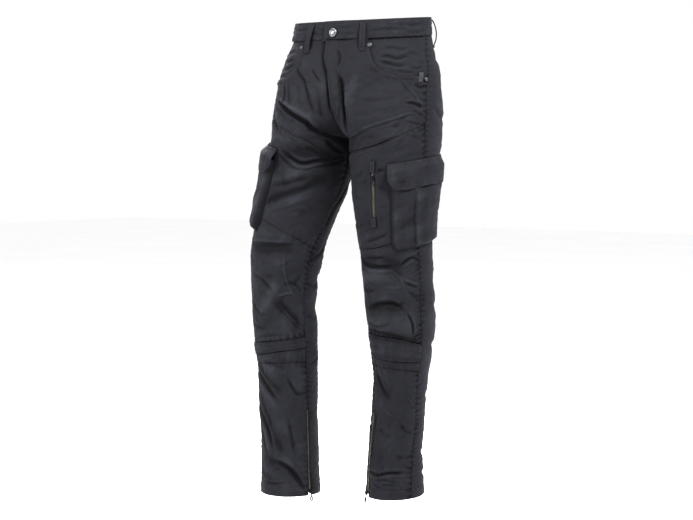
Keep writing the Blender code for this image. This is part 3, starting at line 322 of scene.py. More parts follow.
# ================================================================ creases
# One row is a crease along up to four places on the cloth (w, z).  deep is its depth in mm (a ridge is below zero),
# wide its half width in mm, up and down how high the cloth rises beside it on its upper and lower side, as a share.
CREASES = {
    "R": [
        # deep wide up down, places
        (8.0, 5.4, 0.60, 0.30, (0.84, -0.150), (0.485, -0.190), (0.27, -0.222), (0.08, -0.246)),
        (4.0, 3.4, 0.5, 0.4, (0.36, -0.222), (0.25, -0.232), (0.20, -0.250)),
        (-2.2, 2.6, 0.4, 0.4, (0.34, -0.214), (0.20, -0.226), (0.07, -0.250)),
        (3.0, 4.5, 0.35, 0.30, (0.44, -0.258), (0.29, -0.280), (0.12, -0.284)),
        (5.4, 4.4, 0.60, 0.35, (0.66, -0.262), (0.46, -0.296), (0.31, -0.292), (0.125, -0.284)),
        (-2.2, 2.6, 0.4, 0.5, (0.60, -0.276), (0.44, -0.305), (0.30, -0.301), (0.14, -0.292)),
        (2.6, 4.5, 0.30, 0.30, (0.70, -0.268), (0.535, -0.301), (0.43, -0.312)),
        (3.4, 5.0, 0.35, 0.20, (0.30, -0.240), (0.20, -0.262), (0.08, -0.276)),
        (2.4, 4.0, 0.30, 0.30, (0.38, -0.306), (0.22, -0.300), (0.06, -0.288)),
        (3.2, 7.0, 0.35, 0.30, (0.805, -0.390), (0.50, -0.368), (0.31, -0.350), (0.20, -0.328)),
        (2.6, 6.5, 0.35, 0.30, (0.785, -0.349), (0.495, -0.339), (0.30, -0.323)),
        (1.6, 6.0, 0.30, 0.20, (0.66, -0.412), (0.42, -0.396), (0.22, -0.372)),
        (2.6, 4.5, 0.40, 0.35, (0.425, -0.074), (0.385, -0.096), (0.295, -0.120)),
        (2.4, 4.0, 0.35, 0.35, (0.215, -0.078), (0.19, -0.100), (0.14, -0.120)),
        (2.4, 5.5, 0.30, 0.30, (0.36, -0.100), (0.33, -0.150), (0.26, -0.200)),
        (2.0, 6.0, 0.30, 0.30, (0.56, -0.108), (0.58, -0.140), (0.55, -0.172)),
        (1.6, 5.0, 0.30, 0.30, (0.22, -0.130), (0.20, -0.165), (0.14, -0.205)),
        (1.5, 5.0, 0.30, 0.30, (0.46, -0.110), (0.44, -0.150), (0.40, -0.182)),
        (2.2, 5.0, 0.35, 0.30, (0.635, -0.106), (0.665, -0.154), (0.70, -0.176)),
        (2.8, 6.0, 0.30, 0.30, (0.95, -0.150), (0.80, -0.200), (0.62, -0.238)),
        (-2.6, 3.0, 0.3, 1.0, (0.95, -0.467), (0.50, -0.470), (0.16, -0.474)),
        (2.6, 3.6, 0.20, 0.30, (0.90, -0.477), (0.52, -0.482), (0.24, -0.480)),
        (1.6, 5.0, 0.20, 0.30, (0.90, -0.500), (0.72, -0.515), (0.66, -0.530)),
        (-2.8, 3.0, 0.35, 0.30, (0.30, -0.494), (0.27, -0.544), (0.16, -0.586), (0.04, -0.600)),
        (-2.6, 3.0, 0.30, 0.45, (0.36, -0.596), (0.20, -0.586), (0.13, -0.592)),
        (2.6, 3.6, 0.30, 0.45, (0.22, -0.560), (0.10, -0.572), (0.03, -0.590)),
        (-3.0, 3.2, 0.55, 0.25, (0.38, -0.602), (0.18, -0.640), (0.03, -0.668)),
        (2.2, 5.5, 0.30, 0.30, (0.74, -0.540), (0.52, -0.560), (0.34, -0.594)),
        (1.9, 5.0, 0.30, 0.30, (0.80, -0.600), (0.62, -0.628), (0.40, -0.640)),
        (1.8, 5.0, 0.30, 0.30, (0.86, -0.642), (0.66, -0.664), (0.44, -0.666)),
        (2.4, 4.5, 0.30, 0.30, (0.90, -0.694), (0.55, -0.684), (0.20, -0.679)),
        (4.4, 6.5, 0.45, 0.30, (0.90, -0.756), (0.66, -0.786), (0.45, -0.822), (0.36, -0.836)),
        (5.2, 7.0, 0.45, 0.30, (0.97, -0.812), (0.72, -0.862), (0.58, -0.905), (0.50, -0.960)),
        (5.2, 6.0, 0.50, 0.35, (0.52, -0.962), (0.30, -0.978), (0.13, -1.015), (0.06, -1.040)),
        (-2.2, 2.6, 0.4, 0.4, (0.86, -0.960), (0.66, -0.994), (0.50, -1.006)),
        (2.6, 3.0, 0.4, 0.4, (0.70, -1.010), (0.50, -1.016), (0.28, -1.010)),
        (2.0, 5.0, 0.3, 0.3, (0.62, -0.740), (0.42, -0.748), (0.25, -0.762)),
        (3.0, 5.0, 0.35, 0.35, (0.295, -0.766), (0.15, -0.812), (-0.03, -0.806)),
        (2.6, 6.0, 0.35, 0.30, (0.90, -0.860), (0.72, -0.905), (0.60, -0.960)),
        (2.4, 6.0, 0.35, 0.30, (0.30, -0.850), (0.24, -0.905), (0.20, -0.960)),
        (2.0, 6.0, 0.35, 0.30, (0.80, -0.968), (0.66, -0.996), (0.45, -1.008)),
        (-1.8, 4.0, -0.3, -0.3, (0.035, -0.370), (0.0, -0.420), (0.06, -0.500)),
        (3.0, 5.0, 0.35, 0.35, (-0.10, -0.330), (-0.03, -0.400), (-0.05, -0.456)),
        (2.6, 5.0, 0.35, 0.35, (-0.20, -0.470), (-0.10, -0.500), (0.04, -0.520)),
        (2.6, 5.0, 0.35, 0.35, (-0.22, -0.560), (-0.12, -0.575), (0.02, -0.560)),
        (2.6, 5.0, 0.35, 0.35, (-0.22, -0.640), (-0.12, -0.646), (0.02, -0.632)),
        (2.4, 5.0, 0.35, 0.35, (-0.24, -0.720), (-0.14, -0.742), (-0.02, -0.746)),
    ],
    "L": [
        (6.5, 5.0, 0.50, 0.20, (0.070, -0.086), (0.165, -0.128), (0.20, -0.170), (0.185, -0.242)),
        (3.2, 4.0, 0.35, 0.30, (0.070, -0.040), (0.095, -0.066), (0.085, -0.084)),
        (2.6, 4.5, 0.35, 0.30, (0.120, -0.170), (0.09, -0.205), (0.05, -0.236)),
        (2.4, 4.0, 0.30, 0.30, (0.06, -0.180), (0.045, -0.214), (0.03, -0.240)),
        (-1.8, 2.6, 0.4, 0.7, (0.670, -0.110), (0.82, -0.140), (0.965, -0.176)),
        (4.2, 3.6, 0.50, 0.25, (0.760, -0.166), (0.87, -0.168), (0.975, -0.180)),
        (2.6, 3.0, 0.50, 0.30, (0.84, -0.182), (0.92, -0.190), (0.985, -0.196)),
        (2.0, 3.0, 0.40, 0.30, (0.78, -0.206), (0.90, -0.212), (0.985, -0.216)),
        (2.0, 3.0, 0.40, 0.30, (0.80, -0.236), (0.90, -0.240), (0.985, -0.250)),
        (2.4, 4.5, 0.40, 0.25, (0.820, -0.122), (0.90, -0.132), (0.975, -0.128)),
        (-1.7, 2.8, 0.3, 0.9, (0.16, -0.250), (0.45, -0.222), (0.70, -0.200), (0.82, -0.190), (0.98, -0.188)),
        (0.9, 6.0, 0.30, 0.30, (0.28, -0.150), (0.50, -0.160), (0.72, -0.152)),
        (0.8, 6.0, 0.30, 0.30, (0.26, -0.196), (0.48, -0.188), (0.66, -0.176)),
        (2.8, 5.0, 0.35, 0.30, (0.04, -0.256), (0.16, -0.276), (0.34, -0.262)),
        (2.6, 5.0, 0.35, 0.30, (0.03, -0.280), (0.15, -0.310), (0.30, -0.330)),
        (1.4, 5.0, 0.30, 0.30, (0.16, -0.370), (0.30, -0.366), (0.465, -0.372)),
        (1.4, 4.0, 0.30, 0.30, (0.600, -0.311), (0.675, -0.313)),
        (1.4, 4.0, 0.30, 0.30, (0.580, -0.350), (0.660, -0.346)),
        (1.4, 4.0, 0.30, 0.30, (0.570, -0.392), (0.665, -0.386)),
        (1.8, 5.0, 0.30, 0.30, (0.12, -0.420), (0.28, -0.432), (0.46, -0.424)),
        (5.2, 4.4, 0.45, 0.45, (0.17, -0.492), (0.36, -0.515), (0.76, -0.518)),
        (-2.6, 2.8, 0.3, 0.5, (0.20, -0.506), (0.42, -0.525), (0.74, -0.526)),
        (2.8, 3.0, 0.4, 0.4, (0.34, -0.497), (0.50, -0.499), (0.64, -0.494)),
        (2.4, 3.0, 0.4, 0.4, (0.56, -0.478), (0.72, -0.474), (0.90, -0.488)),
        (4.4, 3.6, 0.45, 0.40, (0.76, -0.517), (0.90, -0.499), (1.02, -0.506)),
        (-2.0, 2.6, 0.3, 0.5, (0.78, -0.522), (0.90, -0.507), (1.0, -0.513)),
        (2.8, 5.0, 0.35, 0.35, (0.350, -0.467), (0.58, -0.455), (0.70, -0.440)),
        (-2.4, 2.6, 0.5, 0.4, (0.660, -0.524), (0.76, -0.541), (0.80, -0.566)),
        (-2.2, 2.6, 0.5, 0.4, (0.76, -0.541), (0.86, -0.549), (1.0, -0.558)),
        (3.4, 3.2, 0.45, 0.35, (0.80, -0.549), (0.88, -0.558), (1.0, -0.566)),
        (3.4, 3.2, 0.45, 0.35, (0.82, -0.568), (0.88, -0.576), (1.0, -0.586)),
        (-1.8, 2.6, 0.40, 0.30, (0.550, -0.559), (0.70, -0.562), (0.79, -0.560)),
        (6.6, 5.0, 0.40, 0.30, (0.22, -0.612), (0.50, -0.597), (0.68, -0.598), (0.80, -0.618)),
        (4.2, 4.0, 0.40, 0.40, (0.79, -0.612), (0.86, -0.640), (0.865, -0.676)),
        (2.2, 2.8, 0.4, 0.4, (0.88, -0.580), (0.94, -0.588), (0.99, -0.597)),
        (2.2, 2.8, 0.4, 0.4, (0.90, -0.650), (0.95, -0.644), (0.99, -0.648)),
        (2.2, 2.8, 0.4, 0.4, (0.86, -0.690), (0.93, -0.668), (0.99, -0.674)),
        (2.4, 5.0, 0.35, 0.30, (0.16, -0.560), (0.30, -0.572), (0.46, -0.566)),
        (2.6, 4.5, 0.35, 0.30, (0.10, -0.636), (0.36, -0.648), (0.62, -0.640)),
        (3.4, 4.5, 0.30, 0.30, (0.06, -0.660), (0.40, -0.662), (0.92, -0.680)),
        (2.6, 7.0, 0.35, 0.30, (0.12, -0.756), (0.26, -0.784), (0.43, -0.816)),
        (-2.2, 2.6, 0.5, 0.4, (0.72, -0.800), (0.86, -0.820), (0.985, -0.846)),
        (-1.8, 2.6, 0.4, 0.4, (0.34, -0.838), (0.50, -0.852), (0.66, -0.856)),
        (1.8, 6.0, 0.30, 0.30, (0.66, -0.870), (0.82, -0.890), (0.98, -0.892)),
        (1.8, 6.0, 0.30, 0.30, (0.20, -0.880), (0.42, -0.900), (0.60, -0.894)),
        (1.8, 6.0, 0.30, 0.30, (0.60, -0.940), (0.80, -0.950), (1.02, -0.944)),
        (4.2, 4.0, 0.50, 0.30, (-0.04, -0.978), (0.26, -0.988), (0.55, -0.982), (0.92, -0.984)),
        (-1.6, 2.4, 0.5, 0.5, (0.30, -0.992), (0.60, -0.988), (0.95, -0.992)),
        (2.6, 2.8, 0.4, 0.4, (0.22, -1.000), (0.50, -0.999), (0.78, -1.008)),
        (2.2, 2.6, 0.4, 0.4, (0.34, -1.010), (0.60, -1.009), (0.84, -1.014)),
        (1.8, 2.6, 0.4, 0.4, (0.16, -1.008), (0.30, -1.014), (0.48, -1.018)),
        (1.6, 4.0, 0.40, 0.30, (0.72, -0.962), (0.86, -0.970), (1.02, -0.980)),
        (1.8, 6.0, 0.30, 0.30, (0.115, -0.819), (0.10, -0.912), (0.02, -0.983)),
        (2.4, 5.0, 0.35, 0.35, (-0.20, -0.470), (-0.08, -0.486), (0.06, -0.480)),
        (2.8, 5.0, 0.35, 0.35, (-0.22, -0.560), (-0.10, -0.580), (0.05, -0.590)),
        (2.6, 5.0, 0.35, 0.35, (-0.22, -0.650), (-0.12, -0.664), (0.02, -0.650)),
        (2.2, 5.0, 0.35, 0.35, (-0.22, -0.860), (-0.12, -0.880), (-0.02, -0.870)),
    ],
}
# The backs aren't in the photo: the creases that such trousers take at the seat, behind the knee and above the hem.
BACK_CREASES = [
    (5.0, 8.0, 0.40, 0.35, (1.94, -0.262), (1.72, -0.272), (1.45, -0.262), (1.24, -0.240)),
    (3.4, 6.0, 0.40, 0.35, (1.90, -0.292), (1.70, -0.306), (1.50, -0.300)),
    (2.6, 6.0, 0.35, 0.30, (1.88, -0.232), (1.70, -0.226), (1.54, -0.206)),
    (2.2, 6.0, 0.30, 0.30, (1.10, -0.060), (1.32, -0.074), (1.50, -0.070)),
    (2.0, 6.0, 0.30, 0.30, (1.86, -0.092), (1.66, -0.110), (1.50, -0.104)),
    (2.6, 6.0, 0.35, 0.30, (1.06, -0.172), (1.20, -0.196), (1.40, -0.200)),
    (2.4, 6.0, 0.35, 0.30, (1.84, -0.356), (1.66, -0.374), (1.46, -0.366)),
    (2.6, 6.0, 0.35, 0.30, (1.30, -0.452), (1.50, -0.470), (1.72, -0.458)),
    (2.0, 6.5, 0.45, 0.40, (1.16, -0.528), (1.30, -0.548), (1.56, -0.546), (1.80, -0.528)),
    (2.4, 6.5, 0.45, 0.40, (1.18, -0.572), (1.36, -0.584), (1.60, -0.578), (1.86, -0.562)),
    (2.2, 6.5, 0.45, 0.40, (1.14, -0.600), (1.28, -0.616), (1.54, -0.618), (1.76, -0.604)),
    (2.0, 6.0, 0.40, 0.40, (1.18, -0.646), (1.42, -0.656), (1.70, -0.646)),
    (2.8, 6.0, 0.35, 0.30, (1.06, -0.690), (1.30, -0.704), (1.50, -0.700)),
    (2.4, 7.0, 0.35, 0.30, (1.74, -0.720), (1.60, -0.770), (1.40, -0.800)),
    (2.6, 7.0, 0.35, 0.30, (1.12, -0.800), (1.34, -0.836), (1.56, -0.842)),
    (2.8, 6.0, 0.35, 0.30, (1.78, -0.872), (1.56, -0.900), (1.32, -0.896)),
    (3.2, 5.5, 0.40, 0.35, (1.08, -0.940), (1.34, -0.958), (1.64, -0.950)),
    (3.6, 5.0, 0.45, 0.35, (1.04, -0.986), (1.30, -1.000), (1.62, -0.998), (1.86, -0.988)),
]
FACING_CREASES = [
    (3.0, 2.8, 0.5, 0.5, (0.42, -0.064), (0.52, -0.060), (0.62, -0.066), (0.74, -0.062), (0.84, -0.066)),
    (3.0, 2.8, 0.5, 0.5, (0.43, -0.070), (0.54, -0.076), (0.64, -0.082), (0.76, -0.080)),
    (2.2, 2.6, 0.5, 0.5, (0.44, -0.046), (0.56, -0.042), (0.66, -0.047), (0.80, -0.044)),
    (1.8, 2.6, 0.5, 0.5, (0.66, -0.056), (0.80, -0.056), (0.93, -0.062)),
    (2.0, 2.6, 0.5, 0.5, (0.76, -0.086), (0.86, -0.090), (0.95, -0.084)),
    (1.8, 2.6, 0.5, 0.5, (0.60, -0.094), (0.74, -0.098), (0.86, -0.098)),
    (1.6, 2.4, 0.5, 0.5, (0.88, -0.074), (0.94, -0.078), (0.98, -0.074)),
]
BAND_CREASES = [  # along the waistband: q is 0 at the centre front, growing to the wearer's left
    (0.9, 2.6, 0.5, 0.4, (0.02, 0.006), (0.10, 0.004), (0.22, 0.007)),
    (0.8, 2.4, 0.5, 0.4, (0.05, -0.008), (0.15, -0.010), (0.23, -0.008)),
    (1.2, 2.8, 0.5, 0.5, (0.32, -0.006), (0.55, -0.002), (0.80, -0.007)),
    (1.2, 2.8, 0.5, 0.5, (0.52, 0.007), (0.75, 0.004), (0.97, 0.008)),
    (1.0, 2.6, 0.5, 0.4, (0.62, -0.010), (0.82, -0.012), (1.02, -0.008)),
    (0.9, 2.6, 0.5, 0.4, (1.10, 0.004), (1.35, 0.000), (1.60, 0.005)),
    (0.9, 2.6, 0.5, 0.4, (1.50, -0.008), (1.80, -0.010), (2.10, -0.006)),
    (0.9, 2.6, 0.5, 0.4, (2.20, 0.006), (2.50, 0.002), (2.80, 0.006)),
    (1.0, 2.6, 0.5, 0.4, (2.90, -0.006), (3.20, -0.004), (3.50, -0.009)),
    (1.1, 2.6, 0.5, 0.5, (3.30, 0.008), (3.55, 0.004), (3.78, 0.007)),
    (1.1, 2.6, 0.5, 0.4, (3.74, -0.004), (3.88, -0.008), (3.99, -0.004)),
    (1.0, 2.4, 0.5, 0.4, (3.80, 0.006), (3.90, 0.002), (3.97, 0.005)),
]


def scatter(seed, count, w_range, zones):
    """Small creases of uneven size, laid the way the cloth pulls in each zone of height."""
    rng = np.random.default_rng(seed)
    out = []
    for _ in range(count):
        z_hi, z_lo, slope, spread, deep = zones[rng.integers(len(zones))]
        w, z = rng.uniform(*w_range), rng.uniform(z_lo, z_hi)
        turn = slope + rng.normal(0, spread)
        length = rng.uniform(0.012, 0.050)
        dw, dz = length * math.cos(turn) / W_LENGTH / 2, length * math.sin(turn) / 2
        bend = rng.normal(0, 0.004)
        out.append((rng.uniform(0.35, 1.0) * deep, rng.uniform(2.6, 5.0), 0.4, 0.3,
                    (w - dw, z - dz), (w, z + bend), (w + dw, z + dz)))
    return out


# zone: top, bottom, slope of its creases (radians, rising with w), how much they vary, depth in mm
FRONT_ZONES = [(-0.05, -0.20, 0.5, 0.6, 0.9), (-0.20, -0.32, 0.45, 0.4, 1.3), (-0.32, -0.46, 0.2, 0.4, 0.9), (-0.46, -0.66, 0.0, 0.4, 1.3),
               (-0.74, -0.90, -0.3, 0.5, 0.9), (-0.90, -1.02, 0.0, 0.4, 1.1)]
BACK_ZONES = [(-0.05, -0.20, -0.3, 0.5, 0.9), (-0.22, -0.32, -0.2, 0.4, 1.3), (-0.34, -0.50, 0.0, 0.4, 0.9), (-0.50, -0.68, 0.0, 0.3, 1.0),
              (-0.70, -0.90, 0.2, 0.5, 1.0), (-0.90, -1.02, 0.0, 0.3, 1.2)]
SMALL = {
    "L": scatter(11, 110, (0.03, 1.0), FRONT_ZONES) + scatter(12, 110, (1.0, 2.0), BACK_ZONES),
    "R": scatter(21, 120, (0.03, 1.0), FRONT_ZONES) + scatter(22, 110, (1.0, 2.0), BACK_ZONES),
}


def crease_field(creases, x, z, length=W_LENGTH, sharp=1.0):
    """Height in metres at x (in steps of w) and z from all creases of a list."""
    out = np.zeros(np.broadcast(x, z).shape)
    px, pz = np.broadcast_arrays(x * length, z)
    for row in creases:
        deep, wide, up, down = row[0] / 1000, max(row[1] * sharp, 2.3) / 1000, row[2], row[3]
        pts = np.array(row[4:], float) * (length, 1.0)
        reach = 4.5 * wide
        near = ((px > pts[:, 0].min() - reach) & (px < pts[:, 0].max() + reach)
                & (pz > pts[:, 1].min() - reach) & (pz < pts[:, 1].max() + reach))
        if not near.any():
            continue
        qx, qz = px[near], pz[near]
        # soften the corners of the path
        fine = []
        n = len(pts)
        for t in np.linspace(0, n - 1, (n - 1) * 5 + 1):
            i = min(int(t), n - 2)
            f = t - i
            p0, p1, p2, p3 = pts[max(i - 1, 0)], pts[i], pts[i + 1], pts[min(i + 2, n - 1)]
            fine.append(0.5 * (2 * p1 + (p2 - p0) * f + (2 * p0 - 5 * p1 + 4 * p2 - p3) * f**2 + (3 * p1 - p0 - 3 * p2 + p3) * f**3))
        fine = np.array(fine)
        best = np.full(qx.shape, 1e9)
        side = np.zeros(qx.shape)
        along = np.zeros(qx.shape)
        run = np.concatenate([[0], np.cumsum(np.linalg.norm(np.diff(fine, axis=0), axis=1))])
        for k in range(len(fine) - 1):
            a, b = fine[k], fine[k + 1]
            v = b - a
            l2 = max(float(v @ v), 1e-12)
            t = np.clip(((qx - a[0]) * v[0] + (qz - a[1]) * v[1]) / l2, 0, 1)
            dx, dz = qx - a[0] - t * v[0], qz - a[1] - t * v[1]
            d = np.hypot(dx, dz)
            cross = (v[0] * dz - v[1] * dx) * (1 if v[0] >= 0 else -1)
            closer = d < best
            best = np.where(closer, d, best)
            side = np.where(closer, np.sign(cross), side)
            along = np.where(closer, run[k] + t * math.sqrt(l2), along)
        s = along / run[-1]
        ends = smoothstep((s + 0.02) / 0.30) * smoothstep((1.02 - s) / 0.34)
        wide_here = wide * (0.80 + 0.35 * ends)
        d = best / wide_here
        groove = -np.exp(-np.power(d, 1.6))
        lip = np.exp(-((d - 1.9) / 0.95) ** 2)
        lips = np.where(side > 0, up, down) * lip
        out[near] += deep * ends * (groove + lips * np.minimum(1, d))
    return out


def soft_noise(x, z, seed, size):
    """A smooth uneven field from a few waves, about -1 to 1."""
    rng = np.random.default_rng(seed)
    out = 0.0
    for _ in range(7):
        a = rng.uniform(0, math.tau)
        k = math.tau / (size * rng.uniform(0.6, 1.6))
        out = out + np.sin(k * (x * math.cos(a) + z * math.sin(a)) + rng.uniform(0, math.tau))
    return out / 3.2


def pocket_mask(side, w, z):
    """1 under the cargo pocket, where the cloth lies flat."""
    up = CARGO[side]["raised"]
    zz = z - up - CARGO_SLOPE * (w - 1.0)
    return (smoothstep((w - CARGO_W[0] + 0.030) / 0.030) * smoothstep((CARGO_W[1] + 0.030 - w) / 0.030)
            * smoothstep((CARGO_FLAP_Z[0] + 0.006 - zz) / 0.006) * smoothstep((zz - CARGO_BODY_Z[1] + 0.006) / 0.006))


def zip_mask(side, w, z):
    if side != "L":
        return 0.0 * (w + z)
    return smoothstep((0.062 - np.abs(w - 0.547)) / 0.030) * smoothstep((z + 0.440) / 0.010) * smoothstep((-0.284 - z) / 0.010)


def relief(side, w, z):
    """How far the cloth stands in or out of its smooth surface, metres."""
    w, z = np.broadcast_arrays(np.asarray(w, float), np.asarray(z, float))
    below = z < Z_FORK
    u = np.where(below & (w > 1.6), w - 2.0, w)
    out = crease_field(CREASES[side], u, z, sharp=0.74) + crease_field(BACK_CREASES, w, z - (0.012 if side == "R" else 0.0))
    # a front crease that runs off the inner edge goes on round it
    out = out + crease_field(SMALL[side], w, z) + 0.75 * folds(side, w, z)
    out = out + 0.0003 * soft_noise(w * W_LENGTH, z, 5 if side == "L" else 6, 0.026) + 0.0009 * soft_noise(w * W_LENGTH, z, 7 if side == "L" else 8, 0.085)
    # the two halves meet at the centre front and back
    near_fork = smoothstep((z - Z_FORK + 0.020) / 0.020)
    centre = 1 - near_fork * (1 - smoothstep(w / 0.05) * smoothstep((2 - w) / 0.05))
    top = smoothstep((-0.022 - z) / 0.012)
    return out * centre * top * (1 - 0.92 * pocket_mask(side, w, z)) * (1 - 0.85 * zip_mask(side, w, z))


def at(q, z):
    """Base, outward and relief for q: below 0 the right front, 0 to 2 the left half, 2 to 4 the right half, above 4 the left front again."""
    q, z = np.broadcast_arrays(np.asarray(q, float), np.asarray(z, float))
    left = ((q >= 0) & (q <= 2)) | (q > 4)
    wl = np.clip(np.where(q > 4, q - 4, q), 0, 2)
    wr = np.clip(np.where(q < 0, -q, 4 - q), 0, 2)
    pick = left[..., None]
    base = np.where(pick, S("L", wl, z), S("R", wr, z))
    out = np.where(pick, outward("L", wl, z), outward("R", wr, z))
    return base, out, np.where(left, relief("L", wl, z), relief("R", wr, z))


# ================================================================ materials
def nodes_of(name):
    m = bpy.data.materials.new(name)
    m.use_nodes = True
    nt = m.node_tree
    nt.nodes.clear()
    out = nt.nodes.new("ShaderNodeOutputMaterial")
    b = nt.nodes.new("ShaderNodeBsdfPrincipled")
    nt.links.new(b.outputs[0], out.inputs[0])
    return m, nt, b


def link(nt, a, b):
    nt.links.new(a, b)


def math_node(nt, op, a, b, c=None):
    n = nt.nodes.new("ShaderNodeMath")
    n.operation = op
    for k, v in enumerate((a, b, c)):
        if v is None:
            continue
        if isinstance(v, (int, float)):
            n.inputs[k].default_value = v
        else:
            link(nt, v, n.inputs[k])
    return n.outputs[0]


def ramp(nt, fac, stops):
    n = nt.nodes.new("ShaderNodeValToRGB")
    n.color_ramp.elements[0].position, n.color_ramp.elements[1].position = stops[0][0], stops[-1][0]
    n.color_ramp.elements[0].color, n.color_ramp.elements[1].color = (*stops[0][1], 1), (*stops[-1][1], 1)
    for p, c in stops[1:-1]:
        n.color_ramp.elements.new(p).color = (*c, 1)
    link(nt, fac, n.inputs[0])
    return n.outputs[0]


def noise(nt, vector, scale, detail=3.0, rough=0.55):
    n = nt.nodes.new("ShaderNodeTexNoise")
    n.inputs["Scale"].default_value, n.inputs["Detail"].default_value, n.inputs["Roughness"].default_value = scale, detail, rough
    link(nt, vector, n.inputs["Vector"])
    return n.outputs["Fac"]


def twill_material(name, shade=1.0, weave=1.0):
    """Dark charcoal cotton twill: diagonal ribs, a little uneven dye, painted highlight on the ridges and painted shade
    in the creases, soft sheen.
    """
    m, nt, b = nodes_of(name)
    cut = nt.nodes.new("ShaderNodeUVMap")
    cut.uv_map = "cut"
    obj = nt.nodes.new("ShaderNodeTexCoord").outputs["Object"]
    wear_and_painted_shading = nt.nodes.new("ShaderNodeAttribute")
    wear_and_painted_shading.attribute_name = "wear_and_painted_shading"
    # colour: painted shade deep in the creases, painted highlight on the ridges
    tone = ramp(nt, wear_and_painted_shading.outputs["Fac"], [
        (0.0, (0.0060 * shade, 0.0062 * shade, 0.0085 * shade)), (0.40, (0.0160 * shade, 0.0164 * shade, 0.0208 * shade)),
        (0.62, (0.0180 * shade, 0.0184 * shade, 0.0230 * shade)), (1.0, (0.034 * shade, 0.035 * shade, 0.042 * shade))])
    dye = ramp(nt, noise(nt, obj, 38.0, 4.0), [(0.30, (0.93, 0.93, 0.94)), (0.70, (1.07, 1.07, 1.07))])
    grain = ramp(nt, noise(nt, obj, 520.0, 2.0, 0.6), [(0.30, (0.80, 0.80, 0.80)), (0.72, (1.22, 1.22, 1.24))])
    for other in (dye, grain):
        mix = nt.nodes.new("ShaderNodeMix")
        mix.data_type, mix.blend_type = "RGBA", "MULTIPLY"
        mix.inputs["Factor"].default_value = 1.0
        link(nt, tone, mix.inputs["A"])
        link(nt, other, mix.inputs["B"])
        tone = mix.outputs["Result"]
    link(nt, tone, b.inputs["Base Color"])
    b.inputs["Roughness"].default_value = 0.74
    b.inputs["Specular IOR Level"].default_value = 0.24
    b.inputs["Sheen Weight"].default_value = 0.07
    b.inputs["Sheen Roughness"].default_value = 0.45
    b.inputs["Sheen Tint"].default_value = (0.72, 0.74, 0.84, 1)
    # relief: twill ribs 0.7 mm apart on the cut cloth, threads across them, fine crumple
    wave = nt.nodes.new("ShaderNodeTexWave")
    wave.wave_type, wave.bands_direction, wave.wave_profile = "BANDS", "DIAGONAL", "SIN"
    wave.inputs["Scale"].default_value = 430.0
    wave.inputs["Distortion"].default_value = 0.35
    wave.inputs["Detail"].default_value = 1.0
    wave.inputs["Detail Scale"].default_value = 2.0
    link(nt, cut.outputs[0], wave.inputs["Vector"])
    crumple = noise(nt, obj, 75.0, 4.0, 0.6)
    fine = noise(nt, obj, 900.0, 2.0)
    h = math_node(nt, "MULTIPLY", wave.outputs["Fac"], 0.00012 * weave)
    h = math_node(nt, "MULTIPLY_ADD", crumple, 0.0013, h)
    h = math_node(nt, "MULTIPLY_ADD", fine, 0.00010, h)
    bump = nt.nodes.new("ShaderNodeBump")
    bump.inputs["Strength"].default_value = 0.85
    bump.inputs["Distance"].default_value = 1.0
    link(nt, h, bump.inputs["Height"])
    link(nt, bump.outputs[0], b.inputs["Normal"])
    return m


def thread_material(name, base):
    m, nt, b = nodes_of(name)
    obj = nt.nodes.new("ShaderNodeTexCoord").outputs["Object"]
    link(nt, ramp(nt, noise(nt, obj, 700.0), [(0.3, tuple(0.7 * c for c in base)), (0.7, tuple(1.25 * c for c in base))]), b.inputs["Base Color"])
    b.inputs["Roughness"].default_value = 0.5
    b.inputs["Sheen Weight"].default_value = 0.2
    wave = nt.nodes.new("ShaderNodeTexWave")
    wave.inputs["Scale"].default_value = 900.0
    link(nt, obj, wave.inputs["Vector"])
    bump = nt.nodes.new("ShaderNodeBump")
    bump.inputs["Distance"].default_value = 0.0001
    link(nt, wave.outputs["Fac"], bump.inputs["Height"])
    link(nt, bump.outputs[0], b.inputs["Normal"])
    return m


def metal_material(name, base, rough, wear_and_painted_shading=0.25):
    m, nt, b = nodes_of(name)
    obj = nt.nodes.new("ShaderNodeTexCoord").outputs["Object"]
    link(nt, ramp(nt, noise(nt, obj, 260.0, 4.0), [(0.35, tuple((1 - wear_and_painted_shading) * c for c in base)), (0.65, tuple(min(1, (1 + wear_and_painted_shading * 0.4) * c) for c in base))]), b.inputs["Base Color"])
    b.inputs["Metallic"].default_value = 1.0
    r = ramp(nt, noise(nt, obj, 420.0, 3.0), [(0.3, (rough * 0.8,) * 3), (0.7, (min(1, rough * 1.35),) * 3)])
    link(nt, r, b.inputs["Roughness"])
    bump = nt.nodes.new("ShaderNodeBump")
    bump.inputs["Distance"].default_value = 0.00005
    bump.inputs["Strength"].default_value = 0.5
    link(nt, noise(nt, obj, 1500.0), bump.inputs["Height"])
    link(nt, bump.outputs[0], b.inputs["Normal"])
    return m


TWILL = twill_material("twill")
# a copy of the twill at 0.72 of its tone: painted shade for the strip under the knee band
TWILL_PAINTED_SHADE = twill_material("twill_shadow_side", 0.72)
THREAD = thread_material("thread", (0.013, 0.013, 0.017))
TAPE = thread_material("zip_tape", (0.006, 0.006, 0.007))
TAG = thread_material("tag_tape", (0.026, 0.027, 0.031))
NICKEL = metal_material("nickel", (0.19, 0.193, 0.20), 0.40, 0.55)
DARK = metal_material("dark_metal", (0.055, 0.056, 0.060), 0.36)
TEETH = metal_material("teeth", (0.265, 0.258, 0.220), 0.45)
RIVET = metal_material("rivet_metal", (0.15, 0.15, 0.158), 0.40)

# ================================================================ making cloth
CELL = 0.0027
SKIN = 0.0008       # outer face above the middle of the wall
made = {}


def steps(length, cell=CELL, close=(True, True)):
    n = max(3, int(round(length / cell)))
    t = list(np.linspace(0, 1, n + 1))
    for gap in (0.0008, 0.0018):
        if close[0] and gap / length < 0.5 / n:
            t.append(gap / length)
        if close[1] and gap / length < 0.5 / n:
            t.append(1 - gap / length)
    return np.array(sorted(t))


